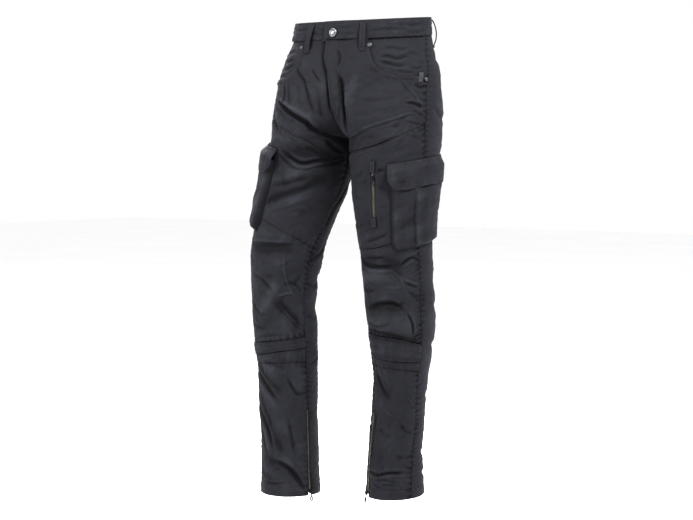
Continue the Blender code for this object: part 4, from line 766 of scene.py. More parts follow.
def distances(p):
    """Metres from each point of a grid to its left, right, top and bottom edge, along the grid, and along each edge."""
    dc = np.concatenate([np.zeros((p.shape[0], 1)), np.cumsum(np.linalg.norm(np.diff(p, axis=1), axis=2), axis=1)], 1)
    dr = np.concatenate([np.zeros((1, p.shape[1])), np.cumsum(np.linalg.norm(np.diff(p, axis=0), axis=2), axis=0)], 0)
    return dict(left=dc, right=dc[:, -1:] - dc, top=dr, bottom=dr[-1:] - dr), dc, dr


def edge_shape(p, edges):
    """The dip of a sewn edge and the puckers that its thread pulls in."""
    d, dc, dr = distances(p)
    out = np.zeros(p.shape[:2])
    for name, (dip, pucker, period) in edges.items():
        e = d[name]
        run = dr if name in ("left", "right") else dc
        out -= dip * np.exp(-(e / 0.0015) ** 2)
        if pucker:
            wob = 1.7 * np.sin(run / 0.031 + 1.3) + 1.1 * np.sin(run / 0.0127 + 0.4)
            height = 0.66 + 0.34 * np.sin(run / 0.047 + 2.0)
            out -= 2.7 * pucker * height * (0.5 + 0.5 * np.sin(math.tau * run / (1.30 * period) + wob)) * np.exp(-e / 0.0100) * (1 - np.exp(-e / 0.0012))
    return out


def blur(a, n):
    for axis in (0, 1):
        pad = [(0, 0), (0, 0)]
        pad[axis] = (n, n)
        b = np.pad(a, pad, mode="edge")
        c = np.cumsum(b, axis=axis)
        c = np.insert(c, 0, 0, axis=axis)
        m = 2 * n + 1
        a = (c[m:] - c[:-m]) / m if axis == 0 else (c[:, m:] - c[:, :-m]) / m
    return a


def grid_piece(name, p, out, uv, wear_and_painted_shading, thickness, material, node=None, body="trousers", drop=None, inside=-1.0):
    """A piece of cloth from a grid of points on its outer face."""
    rows, cols = p.shape[:2]
    mid = (rows // 2, cols // 2)
    flat = np.cross(p[mid[0], min(mid[1] + 1, cols - 1)] - p[mid[0], mid[1] - 1], p[min(mid[0] + 1, rows - 1), mid[1]] - p[mid[0] - 1, mid[1]])
    flip = float(flat @ out[mid]) < 0
    idx = np.arange(rows * cols).reshape(rows, cols)
    quads = np.stack([idx[:-1, :-1], idx[:-1, 1:], idx[1:, 1:], idx[1:, :-1]], -1)
    if drop is not None:
        quads = quads[~drop]
    quads = quads.reshape(-1, 4)
    if flip:
        quads = quads[:, ::-1]
    mesh = bpy.data.meshes.new(name)
    mesh.from_pydata(p.reshape(-1, 3).tolist(), [], quads.tolist())
    mesh.update()
    layer = mesh.uv_layers.new(name="cut")
    loops = np.empty(len(mesh.loops), int)
    mesh.loops.foreach_get("vertex_index", loops)
    layer.data.foreach_set("uv", uv.reshape(-1, 2)[loops].astype(np.float32).ravel())
    a = mesh.attributes.new("wear_and_painted_shading", "FLOAT", "POINT")
    a.data.foreach_set("value", np.clip(wear_and_painted_shading, 0, 1).astype(np.float32).ravel())
    mesh.shade_smooth()
    mesh.materials.append(material)
    o = bpy.data.objects.new(name, mesh)
    bpy.context.scene.collection.objects.link(o)
    s = o.modifiers.new("cloth", "SOLIDIFY")
    s.thickness, s.offset, s.use_even_offset = thickness, inside, False
    s.use_rim = True
    if node:
        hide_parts(*([node] if isinstance(node, str) else node))
    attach(o, body)
    made[name] = o
    return o


def shade_of(h, base, cell_rows=3, deep=0.0016, out=None):
    """0 to 1: how deep in a crease or high on a ridge each point is, used as painted shade in the creases and painted
    highlight on the ridges.
    """
    hp = blur(h, cell_rows) * 0.4 + h * 0.6 - blur(h, cell_rows * 4)
    v = np.where(hp > 0, hp / (1.5 * deep), hp / deep)
    return 0.5 + 0.5 * np.clip(v, -1, 1)


SEWN = (0.0011, 0.0, 1.0)


def sewn(pucker=0.0, period=0.010, dip=0.0011):
    return (dip, pucker, period)


def panel(name, node, side, w, z, edges, lift=None, extra=None, drop=None, material=None, thickness=0.0012, use=None, q=None, flatten=0.0, creases=None):
    """A panel from its grid of w and z (or q and z)."""
    if q is not None:
        base, out, rel = at(q, z)
        across = q
    else:
        base, out, rel = S(side, w, z), outward(side, w, z), relief(side, w, z)
        across = w
    h = rel * (1 - flatten)
    if extra is not None:
        h = h + extra
    h = h + edge_shape(base, edges)
    total = h + SKIN + (0.0 if lift is None else lift)
    p = base + out * np.asarray(total)[..., None]
    shift = 0.0 if side == "L" else 3.0
    uv = np.stack([across * W_LENGTH + shift, z + 2.0], -1)
    # painted shade in the creases and painted highlight on the ridges, with a pool of painted shade round the crotch
    wear_and_painted_shading = shade_of(h, base) - 0.60 * np.exp(-(np.abs(base[..., 0]) / 0.052) ** 2 - ((z + 0.268) / 0.075) ** 2)
    pulled = edge_shape(base, {k: (0.0, v[1], v[2]) for k, v in edges.items()})
    # painted shade in the troughs of the puckers
    wear_and_painted_shading = wear_and_painted_shading + 0.22 * np.clip((pulled + 0.0008) / 0.0008, -1, 0)
    # painted shade along the dip of each sewn seam
    wear_and_painted_shading = wear_and_painted_shading - 0.30 * sum(np.exp(-(distances(base)[0][k] / 0.0013) ** 2) for k, v in edges.items() if v[0] > 0.001)
    o = grid_piece(name, p, out, uv, wear_and_painted_shading, thickness, material or TWILL, node, drop=drop)
    return o


def rows_between(side, upper, lower, t, w):
    return (1 - t)[:, None] * seam_z(side, upper, w)[None, :] + t[:, None] * seam_z(side, lower, w)[None, :]


# ================================================================ legs and hips
def column_w(cell=CELL, start=0.0, stop=1.0, extra=()):
    t = start + (stop - start) * steps(abs(stop - start) * W_LENGTH * 1.12, cell)
    return np.array(sorted(set(np.round(np.concatenate([t, np.array(extra, float)]), 6))))


def zip_opening(side, w, z):
    """Half the hem zip's opening as a step of w, growing from nothing at the zip's top."""
    z = np.asarray(z, float)
    unit = np.linalg.norm(S(side, np.full_like(z, 0.02), z) - S(side, np.zeros_like(z), z), axis=-1) / 0.02
    wide = ZIP_SLOT / 2 + 0.0022 * smoothstep((-0.985 - z) / 0.05)
    return wide / unit * smoothstep((HEM_ZIP_TOP + 0.004 - z) / 0.012)


def front_grid(side, upper, lower, cell=CELL, centre=None):
    w1 = column_w(cell)
    a = seam_z(side, upper, np.array([0.5]))[0] - seam_z(side, lower, np.array([0.5]))[0]
    t = steps(a, cell)
    w = np.repeat(w1[None, :], len(t), 0)
    z = rows_between(side, upper, lower, t, w1)
    gap = zip_opening(side, 0.0, z[:, 0])
    w = w + gap[:, None] * smoothstep(1 - w / 0.12)
    return w, z


BAND_RAISE = 0.0018
for side in SIDES:
    # thigh
    w, z = front_grid(side, "thigh", "above_knee")
    drop = None
    if side == "L":
        # the zip's slot follows two lines of the grid
        centre = THIGH_ZIP["w_top"] + (THIGH_ZIP["w_bottom"] - THIGH_ZIP["w_top"]) * (z - THIGH_ZIP["z_top"]) / (THIGH_ZIP["z_bottom"] - THIGH_ZIP["z_top"])
        unit = float(np.linalg.norm(S("L", 0.56, -0.36) - S("L", 0.54, -0.36))) / 0.02
        half = 0.0042 / unit
        w1 = column_w(CELL)
        k1 = int(np.argmin(np.abs(w1 - (0.5465 - half))))
        k2 = int(np.argmin(np.abs(w1 - (0.5465 + half))))
        k2 = max(k2, k1 + 1)
        w1 = w1.copy()
        w1[k1], w1[k2] = 0.5465 - half, 0.5465 + half
        for k in range(k1 + 1, k2):
            w1[k] = w1[k1] + (w1[k2] - w1[k1]) * (k - k1) / (k2 - k1)
        z = rows_between("L", "thigh", "above_knee", steps(0.21), w1)
        w = np.repeat(w1[None, :], z.shape[0], 0)
        centre = THIGH_ZIP["w_top"] + (THIGH_ZIP["w_bottom"] - THIGH_ZIP["w_top"]) * (z - THIGH_ZIP["z_top"]) / (THIGH_ZIP["z_bottom"] - THIGH_ZIP["z_top"])
        w = w + (centre - 0.5465) * smoothstep(1 - np.abs(w - 0.5465) / 0.35)
        zc = 0.5 * (z[:-1, :-1] + z[1:, 1:])
        drop = np.zeros(zc.shape, bool)
        drop[:, k1:k2] = (zc[:, k1:k2] < THIGH_ZIP["slot_top"] + 0.004) & (zc[:, k1:k2] > THIGH_ZIP["slot_bottom"] - 0.006)
        edge = np.minimum(np.abs(w - w[:, k1:k1 + 1]), np.abs(w - w[:, k2:k2 + 1])) * W_LENGTH
        lip = 0.0006 * np.exp(-(edge / 0.0035) ** 2) * smoothstep((THIGH_ZIP["slot_top"] + 0.01 - z) / 0.01) * smoothstep((z - THIGH_ZIP["slot_bottom"] + 0.01) / 0.01)
    else:
        lip = None
    panel("thigh_cloth_" + side, "thigh_front_" + side, side, w, z,
          dict(left=sewn(0.0012, 0.010), right=sewn(0.0020, 0.0090), top=sewn(0.0009, 0.011), bottom=sewn(0.0010, 0.010)), extra=lip, drop=drop)
    # knee
    w, z = front_grid(side, "above_knee", "band_top")
    panel("knee_cloth_" + side, "knee_front_" + side, side, w, z,
          dict(left=sewn(0.0018, 0.0085), right=sewn(0.0026, 0.0082), top=sewn(0.0008, 0.012), bottom=sewn(0.0016, 0.010, 0.0026)))
    # raised band with three lines of stitches, and the short strip in its shadow, made in a darker copy of the twill as
    # painted shade
    w, z = front_grid(side, "band_top", "band_bottom", 0.0026)
    top, low = z[0], z[-1]
    share = (top - z) / (top - low)
    grooves = sum(-0.0012 * np.exp(-((share - c) * (top - low) / 0.0015) ** 2) for c in (0.10, 0.50, 0.88))
    puff = 0.0007 * np.abs(np.sin(math.pi * np.clip(share * 2.4, 0, 2.4))) - 0.0004
    wob = 0.00022 * np.sin(w * W_LENGTH / 0.0042 + 3 * np.sin(w * 9)) * np.exp(-((share - 0.5) / 0.5) ** 2)
    panel("knee_band_cloth_" + side, "knee_band_" + side, side, w, z,
          dict(left=sewn(), right=sewn(), top=(0.0004, 0.0004, 0.009), bottom=(0.0002, 0.0002, 0.010)),
          lift=BAND_RAISE, extra=grooves + puff + wob, thickness=0.0022)
    w, z = front_grid(side, "band_bottom", "strip_bottom", 0.0026)
    panel("knee_strip_cloth_" + side, "knee_strip_" + side, side, w, z,
          dict(left=sewn(), right=sewn(), top=(0.0026, 0.0, 1.0), bottom=sewn(0.0010, 0.009)), material=TWILL_PAINTED_SHADE)
    # shin, with the turned-up hem
    w, z = front_grid(side, "strip_bottom", "hem")
    hem = 0.0006 * smoothstep((Z_HEM + 0.0195 - z) / 0.0012)
    hem = hem - 0.0006 * np.exp(-((z - Z_HEM - 0.0200) / 0.0016) ** 2) * (0.6 + 0.4 * np.sin(w * W_LENGTH / 0.0016 + 2 * np.sin(w * 11)))
    panel("shin_cloth_" + side, "shin_front_" + side, side, w, z,
          dict(left=sewn(0.0014, 0.010), right=sewn(0.0018, 0.009), top=sewn(0.0010, 0.010), bottom=(0.0004, 0.0, 1.0)), extra=hem)

    # back, from the waist to the hem
    t_hips = np.array(sorted(set(np.round(np.concatenate([
        np.linspace(0, 0.72, 62), np.linspace(0.72, 10 / 12, 22), np.linspace(10 / 12, 1, 14), [0.003, 0.007]]), 6))))
    rows = []
    ws = np.linspace(0, 1, 68)
    ws = np.array(sorted(set(np.round(np.concatenate([ws, [0.003, 0.007, 0.993, 0.997]]), 6))))
    stack = [("waist", "thigh", t_hips), ("thigh", "above_knee", np.linspace(0, 1, 61)[1:]), ("above_knee", "band_top", np.linspace(0, 1, 63)[1:]),
             ("band_top", "band_bottom", np.linspace(0, 1, 12)[1:]), ("band_bottom", "strip_bottom", np.linspace(0, 1, 7)[1:]),
             ("strip_bottom", "hem", np.concatenate([np.linspace(0, 1, 92)[1:-1], [0.994, 0.9975, 1.0]]))]
    edge_w = []
    for upper, lower, ts in stack:
        for t in ts:
            edge = 2.0
            for _ in range(4):
                edge = float(inner_w(side, (1 - t) * seam_z(side, upper, np.array(edge)) + t * seam_z(side, lower, np.array(edge))))
            edge_w.append(edge)
            w = 1 + ws * (edge - 1)
            rows.append((w, (1 - t) * seam_z(side, upper, w) + t * seam_z(side, lower, w)))
    w, z = np.array([r[0] for r in rows]), np.array([r[1] for r in rows])
    hem = 0.0006 * smoothstep((Z_HEM + 0.0195 - z) / 0.0012) - 0.0005 * np.exp(-((z - Z_HEM - 0.0200) / 0.0016) ** 2)
    panel("back_cloth_" + side, "back_" + side, side, w, z,
          dict(left=sewn(0.0017, 0.0086), right=sewn(0.0012, 0.010), top=sewn(0.0005, 0.010), bottom=(0.0004, 0.0, 1.0)), extra=hem)

    # inner leg
    keep = [k for k, (wr, zr) in enumerate(rows) if zr[-1] <= Z_FORK + 2e-4]
    rows_in = []
    for k in keep:
        wr, zr = rows[k]
        edge = wr[-1]
        n = np.array([0, 0.012, 0.03] + list(np.linspace(0.06, 0.94, 17)) + [0.97, 0.988, 1.0])
        z_at = zr[-1]
        gap = float(zip_opening(side, 2.0, np.array(z_at)))
        wi = edge + n * (2.0 - gap - edge)
        rows_in.append((wi, np.full(wi.shape, z_at)))
    w, z = np.array([r[0] for r in rows_in]), np.array([r[1] for r in rows_in])
    hem = 0.0006 * smoothstep((Z_HEM + 0.0195 - z) / 0.0012) - 0.0005 * np.exp(-((z - Z_HEM - 0.0200) / 0.0016) ** 2)
    panel("inner_cloth_" + side, "inner_panel_" + side, side, w, z,
          dict(left=sewn(0.0014, 0.010), right=sewn(0.0020, 0.009), bottom=(0.0004, 0.0, 1.0)), extra=hem)

    # pocket facing
    wf = column_w(CELL, 0.33, 1.0)
    low = curve_through(POCKET_MOUTH["w"], POCKET_MOUTH["z"], wf) - 0.012
    t = np.linspace(0, 1, 32)
    z = (1 - t)[:, None] * (Z_WAIST_SEAM + 0.004) + t[:, None] * low[None, :]
    w = np.repeat(wf[None, :], len(t), 0)
    own = crease_field(FACING_CREASES, w, z)
    panel("facing_cloth_" + side, "pocket_facing_" + side, side, w, z,
          dict(right=sewn(0.0006, 0.009), top=sewn(0.0004, 0.008)), lift=-0.0030 + 0.0028 * smoothstep((w - 0.94) / 0.05) * smoothstep((z - curve_through(POCKET_MOUTH["w"], POCKET_MOUTH["z"], np.clip(w, 0.33, 1.0)) - 0.001) / 0.006), extra=own, flatten=1.0)

# right front of the hips
w1 = column_w(CELL, extra=(0.332, 0.338, 0.345, 0.352, 0.360, 0.368))
top = np.where(w1 < 0.331, Z_WAIST_SEAM, curve_through(POCKET_MOUTH["w"], POCKET_MOUTH["z"], np.maximum(w1, 0.33)))
t = steps(0.235)
for side in SIDES:
    low = seam_z(side, "thigh", w1)
    z = (1 - t)[:, None] * top[None, :] + t[:, None] * low[None, :]
    w = np.repeat(w1[None, :], len(t), 0)
    # the pocket mouth's folded edge stands a little up, and its stitches pull it in
    dip_w = w * W_LENGTH
    mouth = np.stack([np.linspace(0.33, 1.0, 90) * W_LENGTH, curve_through(POCKET_MOUTH["w"], POCKET_MOUTH["z"], np.linspace(0.33, 1.0, 90))], -1)
    away = np.min(np.hypot(dip_w[..., None] - mouth[:, 0], z[..., None] - mouth[:, 1]), -1)
    run = w * W_LENGTH
    hem = 0.0006 * smoothstep((0.0085 - away) / 0.0015) - 0.0007 * np.exp(-((away - 0.0088) / 0.0014) ** 2) * (0.6 + 0.4 * np.sin(run / 0.0016 + 2 * np.sin(run / 0.017)))
    if side == "R":
        panel("hip_cloth_R", "hip_front_R", "R", w, z,
              dict(left=sewn(0.0003, 0.012), right=sewn(0.0018, 0.0095), bottom=sewn(0.0009, 0.012)),
              extra=hem - 0.0004 - 0.0030 * np.exp(-((w - curve_through(FLY_EDGE["z"], FLY_EDGE["w"], np.clip(z, -0.178, -0.020)) - 0.012) / 0.030) ** 2) * smoothstep((z + 0.196) / 0.03))
    else:
        # the left front goes on past the middle as far as the fly's edge
        z0 = z[:, 0]
        fly_w = np.where(z0 > -0.186, curve_through(FLY_EDGE["z"], FLY_EDGE["w"], np.clip(z0, -0.178, -0.020)) * smoothstep((z0 + 0.188) / 0.010), 0.0)
        n = np.linspace(1, 0, 7)[:-1]
        q_fly = -fly_w[:, None] * n[None, :]
        # below the fly the extra columns close up on the seam
        q_fly = q_fly - 2e-5 * n[None, :]
        q = np.concatenate([q_fly, w], 1)
        z = np.concatenate([np.repeat(z0[:, None], len(n), 1), z], 1)
        extra = np.concatenate([np.zeros((len(t), len(n))), hem], 1)
        lift = FLY_LIFT * smoothstep(1 - np.maximum(q, 0) / 0.16) * smoothstep((z + 0.212) / 0.030)
        # the fly's own stitching, a hook that turns in to the seam at its foot
        hook_z = np.linspace(-0.022, -0.188, 60)
        hook_w = np.where(hook_z > -0.150, 0.128, 0.128 * np.sqrt(np.clip(1 - ((-0.150 - hook_z) / 0.040) ** 2, 0, 1)))
        away = np.min(np.hypot((q[..., None] - hook_w) * W_LENGTH, z[..., None] - hook_z), -1)
        extra = extra - 0.0006 * np.exp(-(away / 0.0016) ** 2)
        panel("hip_cloth_L", ["hip_front_L", "fly_edge"], "L", None, z,
              dict(left=(0.0003, 0.0004, 0.012), right=sewn(0.0021, 0.0095), bottom=sewn(0.0007, 0.012)), lift=lift, extra=extra, q=q)

# ================================================================ waistband, loops
q1 = -0.075 + 4.17 * np.linspace(0, 1, 330)
height = np.array([0, 0.0006, 0.0016, 0.003] + list(np.linspace(0.005, 0.035, 14)) + [0.037, 0.0384, 0.0394, 0.040])
q, z = np.meshgrid(q1, Z_TOP - height)
base, out, _ = at(q, z)
over = OVERLAP_LIFT * smoothstep((0.26 - q) / 0.16) * (q < 2)
e = np.minimum(height, 0.040 - height)[:, None]
h = crease_field(BAND_CREASES, q, z, 0.235)
h = h + 0.00035 * soft_noise(q * 0.235, z * 2.0, 31, 0.022)
h = h - 0.0005 * np.exp(-((e - 0.0032) / 0.0012) ** 2)          # where the stitches pull in
h = h - 0.0010 * np.exp(-(e / 0.0011) ** 2)
h = h + 0.0003 * np.sin(q * 0.235 / 0.0021 + 2.2 * np.sin(q * 7)) * np.exp(-((e - 0.004) / 0.004) ** 2)
p = base + out * (0.0008 + BAND_CLOTH / 2 + over + h)[..., None]
uv = np.stack([z + 2.0, q * W_LENGTH], -1)
# the band's colour gets painted shade in its creases and painted highlight on its ridges
band = grid_piece("waistband_cloth", p, out, uv, shade_of(h, base, 2, 0.0010), BAND_CLOTH, TWILL, "waistband")

for number, (side, w0, stand) in enumerate(LOOPS, 1):
    half = LOOP_WIDTH / 2 / 0.26
    zz = np.concatenate([[0.0145], np.linspace(0.0142, -0.0470, 44)])
    cc = np.array([-1, -0.93, -0.7, -0.45, -0.2, 0.0, 0.2, 0.45, 0.7, 0.93, 1.0])
    t = (0.013 - zz) / 0.060
    on_band, on_hip = 0.0008 + BAND_CLOTH / 2 + 0.0013, CLOTH / 2 + 0.0014
    rest = on_band + (on_hip - on_band) * smoothstep((t - 0.70) / 0.20)
    up = stand * np.clip(np.sin(math.pi * np.clip(t / 0.93, 0, 1)), 0, 1) ** 0.75
    crown = 0.0004 * (1 - cc**2) + 0.0003 * np.exp(-((np.abs(cc) - 0.62) / 0.14) ** 2) * -1
    lift = (rest + up)[:, None] + crown[None, :] + 0.0006
    lift[0] -= 0.0010
    z, c = np.meshgrid(zz, cc, indexing="ij")
    slant = 0.035 * (t[:, None] - 0.5) * (1 if (side, w0) == ("R", 0.245) else 0)
    if w0 == 2.0:
        q = 2.0 + c * half
        base, out, _ = at(q, z)
    else:
        base, out = S(side, w0 + c * half + slant, z), outward(side, w0 + c * half + slant, z)
    over = OVERLAP_LIFT * smoothstep((0.26 - w0) / 0.16) if side == "L" and w0 < 1 else 0.0
    p = base + out * lift[..., None]
    uv = np.stack([c * 0.006 + 5 + number * 0.1, z + 1.0], -1)
    # painted highlight near the loop's rounded edges and painted shade on its very sides
    wear_and_painted_shading = 0.5 + 0.25 * np.exp(-((np.abs(c) - 0.93) / 0.15) ** 2) - 0.2 * (np.abs(c) > 0.95)
    lo = grid_piece("belt_loop_cloth_%d" % number, p, out, uv, wear_and_painted_shading, 0.0018, TWILL, "belt_loop_%d" % number)

# ================================================================ cargo pockets
for side, c in CARGO.items():
    up, bulge = c["raised"], c["bulge"]
    a = np.array([0, 0.004, 0.010, 0.020, 0.032, 0.046] + list(np.linspace(0.062, 0.938, 46)) + [0.954, 0.968, 0.980, 0.990, 0.996, 1.0])
    zb = np.concatenate([np.linspace(CARGO_BODY_Z[0], -0.462, 44), np.linspace(-0.4640, CARGO_BODY_Z[1], 12)])
    z, aa = np.meshgrid(zb, a, indexing="ij")
    cut = np.clip((-0.455 - z) / 0.023, 0, 1)
    w_all = CARGO_W[0] + 0.54 * aa
    w = CARGO_W[0] + 0.055 * cut + (w_all - CARGO_W[0]) * (1 - 0.055 * cut / 0.54 * 1.6)
    edge = np.minimum((w - w[:, :1]) * W_LENGTH, (w[:, -1:] - w) * 0.30)
    side_drop, low_drop = smoothstep(edge / 0.0085), smoothstep((z - CARGO_BODY_Z[1]) / 0.010)
    zs = z + up + CARGO_SLOPE * (w - 1.0)
    base, out = S(side, w, zs), outward(side, w, zs)
    h = np.zeros(w.shape)
    pleat = 0.905 + 0.018 * (-0.386 - z) / 0.085
    d = (w - pleat) * W_LENGTH
    h -= 0.0026 * np.exp(-(d / 0.0022) ** 2) * smoothstep((z + 0.476) / 0.01) * smoothstep((-0.345 - z) / 0.03)
    h += 0.0012 * np.exp(-((d - 0.006) / 0.005) ** 2)
    h += 0.0010 * soft_noise(w * W_LENGTH, z, 41 if side == "L" else 42, 0.050) * side_drop * low_drop
    h += 0.0004 * soft_noise(w * W_LENGTH, z, 43 if side == "L" else 44, 0.018) * side_drop * low_drop
    # puckers along the sewn edges
    run_v, run_h = z, w * W_LENGTH
    h -= 0.0009 * (0.5 + 0.5 * np.sin(run_v / 0.0016 + 1.8 * np.sin(run_v / 0.019))) * np.exp(-edge / 0.007) * (1 - np.exp(-edge / 0.0012))
    low_e = z - CARGO_BODY_Z[1]
    h -= 0.0008 * (0.5 + 0.5 * np.sin(run_h / 0.0017 + 1.8 * np.sin(run_h / 0.021))) * np.exp(-low_e / 0.007) * (1 - np.exp(-low_e / 0.0012))
    if side == "R":
        h += 0.0011 * np.sin(w * W_LENGTH / 0.0046 + 1.9 * np.sin(z / 0.031) + 1.6 * np.sin(w * 11.0)) * (0.6 + 0.4 * np.sin(z / 0.043 + w * 7.0)) * side_drop * low_drop
    lift = 0.0012 + (LIFT - 0.0012) * np.minimum(1, (edge / 0.0025)) * np.minimum(1, low_e / 0.0025) + bulge * side_drop * low_drop
    p = base + out * (lift + 0.0006 + h)[..., None]
    uv = np.stack([w * W_LENGTH + 8, z + 2], -1)
    # painted shade in the creases, a painted highlight on the bulge's shoulder, and painted shadow along the pocket's
    # edges and its foot
    wear_and_painted_shading = np.clip(shade_of(h, base, 2, 0.0012) + 0.16 * np.exp(-((edge - 0.010) / 0.003) ** 2) - 0.5 * np.exp(-(edge / 0.004) ** 2) - 0.5 * np.exp(-((z - CARGO_BODY_Z[1]) / 0.004) ** 2), 0, 1)
    body_piece = grid_piece("cargo_cloth_" + side, p, out, uv, wear_and_painted_shading, 0.0011, TWILL, "cargo_body_" + side)

    t1 = np.array(list(np.linspace(0, 0.92, 24)) + [0.95, 0.975, 1.0])
    wc = np.linspace(-1, 1, 62)
    t, s = np.meshgrid(t1, wc, indexing="ij")
    corner = np.clip((t - 0.62) / 0.38, 0, 1) ** 1.3 * 0.060
    w = 0.97 + 0.288 * s * (1 - corner / 0.288)
    z = CARGO_FLAP_Z[0] + (CARGO_FLAP_Z[1] - CARGO_FLAP_Z[0]) * t + 0.0012 * np.sin(s * 5.0 + 1) * t
    zs = z + up + CARGO_SLOPE * (w - 1.0)
    base, out = S(side, w, zs), outward(side, w, zs)
    side_e = (1 - np.abs(s)) * 0.288 * W_LENGTH
    low_e = (1 - t) * 0.056
    top_e = t * 0.056
    e = np.minimum(side_e, np.minimum(low_e, top_e * 1.0))
    h = -0.0007 * np.exp(-((e - 0.0060) / 0.0013) ** 2) * (0.7 + 0.3 * np.sin((w * W_LENGTH + z) / 0.0014))
    inner = np.minimum((0.215 - np.abs(w - 0.955)) * W_LENGTH, np.minimum(t - 0.26, 0.80 - t) * 0.056)
    h = h - 0.0007 * np.exp(-((inner - 0.004) / 0.0012) ** 2) - 0.0004 * np.exp(-((inner - 0.011) / 0.0012) ** 2)
    h = h + 0.0005 * soft_noise(w * W_LENGTH, z, 51 if side == "L" else 52, 0.034) + 0.0003 * soft_noise(w * W_LENGTH, z, 53, 0.014)
    h = h - 0.0008 * np.exp(-(top_e / 0.0016) ** 2) - 0.0006 * np.exp(-(low_e / 0.0010) ** 2) - 0.0006 * np.exp(-(side_e / 0.0012) ** 2)
    lift = LIFT + (bulge + 0.0030) * smoothstep(t / 0.38)
    lift = lift + 0.0012 * np.exp(-(low_e / 0.004) ** 2) * np.sin(s * 9 + 0.6)
    p = base + out * (lift + 0.0010 + h)[..., None]
    uv = np.stack([w * W_LENGTH + 9, z + 2], -1)
    # painted shade in the creases and a painted highlight along the flap's edges
    wear_and_painted_shading = np.clip(shade_of(h, base, 2, 0.0010) + 0.14 * np.exp(-(e / 0.0018) ** 2), 0, 1)
    flap = grid_piece("flap_cloth_" + side, p, out, uv, wear_and_painted_shading, 0.0020, TWILL, "cargo_flap_" + side)

# ================================================================ stitches
LONG, GAP, WIDE, HIGH = 0.0026, 0.0009, 0.00034, 0.00036


class Threads:
    """Collects stitches and makes them one piece."""
    def __init__(self):
        self.v, self.f, self.count = [], [], 0

    def row(self, pts, out, long=LONG, gap=GAP, wide=WIDE, high=HIGH):
        run = np.concatenate([[0], np.cumsum(np.linalg.norm(np.diff(pts, axis=0), axis=1))])
        total = run[-1]
        n = int((total - 0.0006) / (long + gap))
        if n < 1:
            return
        start = 0.0003 + (long + gap) * np.arange(n)
        def pos(s):
            return np.stack([np.interp(s, run, pts[:, k]) for k in range(3)], -1)
        a, b = pos(start), pos(start + long)
        nn = np.stack([np.interp(start + long / 2, run, out[:, k]) for k in range(3)], -1)
        nn /= np.maximum(np.linalg.norm(nn, axis=1, keepdims=True), 1e-9)
        d = b - a
        d /= np.maximum(np.linalg.norm(d, axis=1, keepdims=True), 1e-9)
        side = np.cross(d, nn)
        m = 0.5 * (a + b)
        low = nn * high * 0.5
        ring_a = [a + d * long * 0.22 + k1 * side * wide + k2 * nn * high for k1, k2 in ((1, 0.1), (0, 1), (-1, 0.1), (0, -0.8))]
        ring_b = [b - d * long * 0.22 + k1 * side * wide + k2 * nn * high for k1, k2 in ((1, 0.1), (0, 1), (-1, 0.1), (0, -0.8))]
        block = np.stack([a - low] + ring_a + ring_b + [b - low], 1)   # 10 points a stitch
        faces = []
        for k in range(4):
            j = (k + 1) % 4
            faces += [(0, 1 + j, 1 + k, -1), (1 + k, 1 + j, 5 + j, 5 + k), (9, 5 + k, 5 + j, -1)]
        base = self.count + 10 * np.arange(n)
        self.v.append(block.reshape(-1, 3))
        for f in faces:
            f = [x for x in f if x >= 0]
            self.f += (base[:, None] + np.array(f)[None, :]).tolist()
        self.count += 10 * n

    def make(self, name, material, body="trousers"):
        mesh = bpy.data.meshes.new(name)
        mesh.from_pydata(np.concatenate(self.v).tolist(), [], self.f)
        bm = bmesh.new()
        bm.from_mesh(mesh)
        bmesh.ops.recalc_face_normals(bm, faces=bm.faces)
        bm.to_mesh(mesh)
        bm.free()
        mesh.shade_smooth()
        mesh.materials.append(material)
        o = bpy.data.objects.new(name, mesh)
        bpy.context.scene.collection.objects.link(o)
        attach(o, body)
        return o


def on_skin(side, w, z, lift=0.0):
    w, z = np.asarray(w, float), np.asarray(z, float)
    n = outward(side, w, z)
    return S(side, w, z) + n * (relief(side, w, z) + SKIN + lift)[..., None], n


